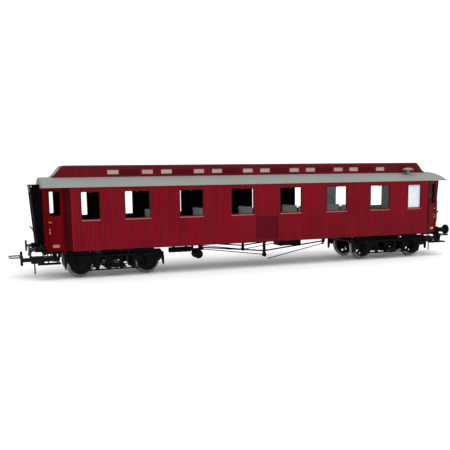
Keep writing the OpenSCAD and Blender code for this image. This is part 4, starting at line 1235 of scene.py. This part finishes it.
couplers = {"x": 2.7, "pin": (1.6, 2.1, 7.3), "webX": 2.2, "webY": 0.25, "webZ": (8.75, 9.05),
            "capZ": 8.78, "cap": [[0.55, 0], [0.55, 0.2], [0.4, 0.3]]}


def couplerDetails():
    # pins through the coupler head and pocket, and a web with a turned cap over the arm
    x = endX + couplers["x"]
    px, py, pz = couplers["pin"]
    low, high = couplers["webZ"]
    return merged(bothSides(rivets([[x - px, -py, pz], [x + px, -py, pz]], 0.32, 0.16, sides=12)),
                  boxes([x - couplers["webX"], -couplers["webY"], low],
                        [x + couplers["webX"], couplers["webY"], high]),
                  turnings(couplers["cap"], [[x, 0, couplers["capZ"]]], 16))


newPiece("buffer_details", fourCorners(bufferDetails()), "coach_body", made["bufferSteel"])
for end, sign in (("front", 1), ("rear", -1)):
    newPiece(f"coupler_details_{end}", flipped(couplerDetails(), (sign, 1, 1)), f"coupler_{end}",
             made["couplerMoulding"], bevel=0.04)
print("ends made")


# Bogies and wheels

chordZ, tieZ, solebarZ = axleZ + 2.6, axleZ - 3.0, bodyZ - 0.6
sideFrameY = corners("bogie_frame_front")[1][1]
boxLidY = corners("axle_boxes_front")[0][1]
axleWeb = {"foot": 5.0, "shoulder": 6.9, "crown": 5.4, "drop": 0.2, "crownGap": 0.45, "notch": 0.9,
           "outer": 0.3, "inner": 0.7, "rivet": 0.17, "rivets": 4, "rivetIn": 0.5}


def axleWebs():
    # web of the side frame behind one axle box: a plate with a notch for the journal, which widens
    # from the axle up to the top chord and narrows again to its crown under the solebar, and
    # rivets up both of its edges
    low = axleZ - axleWeb["drop"]
    heights = [axleZ + axleWeb["notch"], low, low, chordZ + 0.1, solebarZ - axleWeb["crownGap"]]
    right = np.c_[[axleWeb[k] for k in ("notch", "notch", "foot", "shoulder", "crown")], heights]
    outline = np.concatenate([right, (right * [-1, 1])[::-1]])
    count, n = len(outline), axleWeb["rivets"]
    outer, inner = axleWeb["outer"] - sideFrameY, axleWeb["inner"] - sideFrameY
    points = np.concatenate([np.c_[outline[:, 0], np.full(count, y), outline[:, 1]]
                             for y in (outer, inner)])
    k = np.arange(count)
    climb = np.linspace(0.12, 0.88, n)[:, None]
    edge = right[2] + (right[3] - right[2]) * climb - [axleWeb["rivetIn"], 0]
    spots = np.c_[edge[:, 0], np.full(n, outer), edge[:, 1]]
    return merged((points, [gridFaces(2, count, wrapColumns=True), np.array([k[::-1], k + count])]),
                  rivets(np.concatenate([spots, spots * [-1, 1, 1]]), axleWeb["rivet"], 0.11))


bogie = {"lid": [[1.1, 0.02], [1.08, -0.1], [0.72, -0.26], [0.3, -0.3]], "knobOut": 0.28,
         "lidBolt": (1.4, 0.5, 1.45), "buckle": (0.55, 1.05, -0.6, 1.25), "hangerAt": (4.9, 0.45, 0.75),
         "hanger": [[0.3, -0.9], [0.3, -0.6], [0.18, -0.6], [0.18, 0.75], [0.34, 0.75], [0.34, 1.0],
                    [0.2, 1.15]],
         "guide": ((2.55, 1.6), (2.3, 0.2), (2.1, -1.4)), "postX": (-7.8, -2.6, 2.6, 7.8),
         "postZ": (tieZ + 0.28, axleZ - 0.6, axleZ + 1.4), "rivet": 0.2,
         "bolster": (0.65, 1.0, 0.85, 2.85),
         "pin": [[0.34, -0.15], [0.4, 0], [0.4, 0.5], [0.34, 0.6]], "pinAt": (4.0, 0.95, 1.2),
         "chordX": (8.7, 19.9, 20.7), "chordUp": 0.55}


def bogieFittings():
    # near side of a bogie on its own centre; at each axle a lid with a knob and bolts, a spring
    # buckle with hangers, rivets and the web; between them rivets, a bolster cap and its pins
    y, r = -sideFrameY, bogie["rivet"]
    a, back, b = bogie["lidBolt"]
    half, out, low, high = bogie["buckle"]
    hangX, hangOut, hangUp = bogie["hangerAt"]
    bolts = [[p * a, boxLidY + back, axleZ + q * b] for p in (-1, 1) for q in (-1, 1)]
    axleSet = merged(
        turnings(bogie["lid"], [[0, boxLidY, axleZ]], 24, "y"),
        rivets([[0, boxLidY - bogie["knobOut"], axleZ]], 0.3, 0.2, sides=10),
        rivets(bolts, r, 0.16, sides=6),
        boxes([-half, y - out, chordZ + low], [half, y + 0.02, chordZ + high]),
        turnings(bogie["hanger"], [[s * hangX, y - hangOut, chordZ + hangUp] for s in (-1, 1)], 8),
        rivets([[s * x, y, axleZ + z] for s in (-1, 1) for x, z in bogie["guide"]], r, 0.13), axleWebs())
    half, out, low, high = bogie["bolster"]
    pinX, pinOut, pinUp = bogie["pinAt"]
    topZ = chordZ + bogie["chordUp"]
    return merged(
        copies(axleSet, [[-halfBase, 0, 0], [halfBase, 0, 0]]),
        rivets([[x, y + 0.1, z] for x in bogie["postX"] for z in bogie["postZ"]], r, 0.13),
        boxes([-half, y - out, tieZ + low], [half, y + 0.02, tieZ + high]),
        turnings(bogie["pin"], [[s * pinX, y - pinOut, tieZ + pinUp] for s in (-1, 1)], 12, "y"),
        rivets([[s * x, y, topZ] for s in (-1, 1) for x in bogie["chordX"]], 0.22, 0.14))


brakes = {"shoe": 5.3, "rodIn": 1.425, "rodY": -9.0, "rodDown": 1.1, "rod": 0.22, "pinIn": 1.0,
          "pinUp": 1.9, "pin": [[0.3, -0.5], [0.36, -0.4], [0.36, 0.4], [0.3, 0.5]],
          "beamIn": 1.0, "beam": (0.35, -1.5, -0.7)}


def brakeRigging():
    # pull rod along the bogie between the shoes, with pins at the hangers, on both sides
    x, y, z = halfBase - brakes["shoe"] - brakes["rodIn"], brakes["rodY"], axleZ - brakes["rodDown"]
    rod = sweep([[-x, y, z], [x, y, z]], circle(brakes["rod"], 8), (0, 0, 1))
    spots = [[s * (x - brakes["pinIn"]), y, axleZ + brakes["pinUp"]] for s in (-1, 1)]
    return bothSides(merged(rod, turnings(brakes["pin"], spots, 10, "y")))


plank = {"sideGap": 1.3, "half": 4.4, "low": 0.9, "high": 1.9, "bolsterHalf": 2.2, "bolsterLow": 1.6,
         "bolsterHigh": 0.4, "coil": 0.85, "wire": 0.2, "turns": 4.5, "coilX": 2.9, "coilIn": 1.2}


def springPlank():
    # plank and bolster across the middle of a bogie with a pair of coil springs at each end,
    # and a brake beam across it in front of each wheelset
    reach, foot, head = sideFrameY - plank["sideGap"], tieZ + plank["high"], chordZ - plank["bolsterLow"]
    across = boxes([[-plank["half"], -reach, tieZ + plank["low"]], [-plank["bolsterHalf"], -reach, head]],
                   [[plank["half"], reach, foot],
                    [plank["bolsterHalf"], reach, chordZ - plank["bolsterHigh"]]])
    turn = np.linspace(0, plank["turns"] * math.tau, 109)
    path = np.stack([plank["coil"] * np.cos(turn), plank["coil"] * np.sin(turn),
                     np.linspace(foot, head, len(turn))], -1)
    coil = sweep(path, circle(plank["wire"], 6), (0, 0, 1))
    coils = copies(coil, [[s * plank["coilX"], plank["coilIn"] - reach, 0] for s in (-1, 1)])
    x = halfBase - brakes["shoe"] - brakes["beamIn"]
    half, low, high = brakes["beam"]
    beams = boxes([[s * x - half, 1 - reach, axleZ + low] for s in (-1, 1)],
                  [[s * x + half, reach - 1, axleZ + high] for s in (-1, 1)])
    return merged(across, bothSides(coils), beams)


for end, sign in (("front", 1), ("rear", -1)):
    fittings = merged(bothSides(bogieFittings()), brakeRigging(), springPlank())
    newPiece(f"bogie_fittings_{end}", copies(fittings, [[sign * bogieX, 0, 0]]), f"bogie_{end}",
             made["bogieMoulding"])


wheel = {"hub": [[1.4, 0.1], [1.35, -0.12], [1.0, -0.2], [0.95, -0.05], [0.7, -0.05], [0.66, 0.05]],
         "hubAt": 0.25, "lip": (4.32, 0.09), "lipAt": 0.75, "weld": (1.5, 0.14), "weldAt": 0.5,
         "boss": [[1.7, 0.0], [1.6, 0.35], [1.1, 0.5]], "bossAt": 2.4}


def wheelDetails():
    # hub, a fine lip inside the rim and a ring round the hub on the outer face of both wheels, and
    # a boss on the inner face
    out = -corners("tyres_1")[1][1]
    return bothSides(merged(turnings(wheel["hub"], [[0, out + wheel["hubAt"], 0]], 28, "y"),
                            copies(ring(*wheel["lip"], 64, "y"), [[0, out + wheel["lipAt"], 0]]),
                            copies(ring(*wheel["weld"], 28, "y", 6), [[0, out + wheel["weldAt"], 0]]),
                            turnings(wheel["boss"], [[0, out + wheel["bossAt"], 0]], 24, "y")))


for i, x in enumerate(wheelsetX):
    newPiece(f"wheel_details_{i + 1}", copies(wheelDetails(), [[x, 0, axleZ]]), f"wheelset_{i + 1}",
             made["wheelBlack"])
print("bogies and wheels made")


# Inside

benchTop = {"aisle": 3.25, "wallGap": 0.05,
            "profile": [[-1.35, -0.5], [-1.4, 0.3], [-1.2, 0.8], [-0.3, 0.9], [0, 0.8], [0.3, 0.9],
                        [1.2, 0.8], [1.4, 0.3], [1.35, -0.5]]}


def seatTrims():
    # padded cap along the top of each bench back, with a seam groove down its middle
    seatHi = corners("seats")[1]
    path = [[0, y, seatHi[2]] for y in (benchTop["aisle"], seatHi[1] - benchTop["wallGap"])]
    cap = sweep(path, benchTop["profile"], (0, 0, 1))
    x = (np.arange(1, coach["windows"]) - coach["windows"] / 2) * coach["windowPitch"]
    return bothSides(copies(cap, [[a, 0, 0] for a in x]))


newPiece("seat_tops", seatTrims(), "coach_body", made["seatMoulding"])
print("inside made")
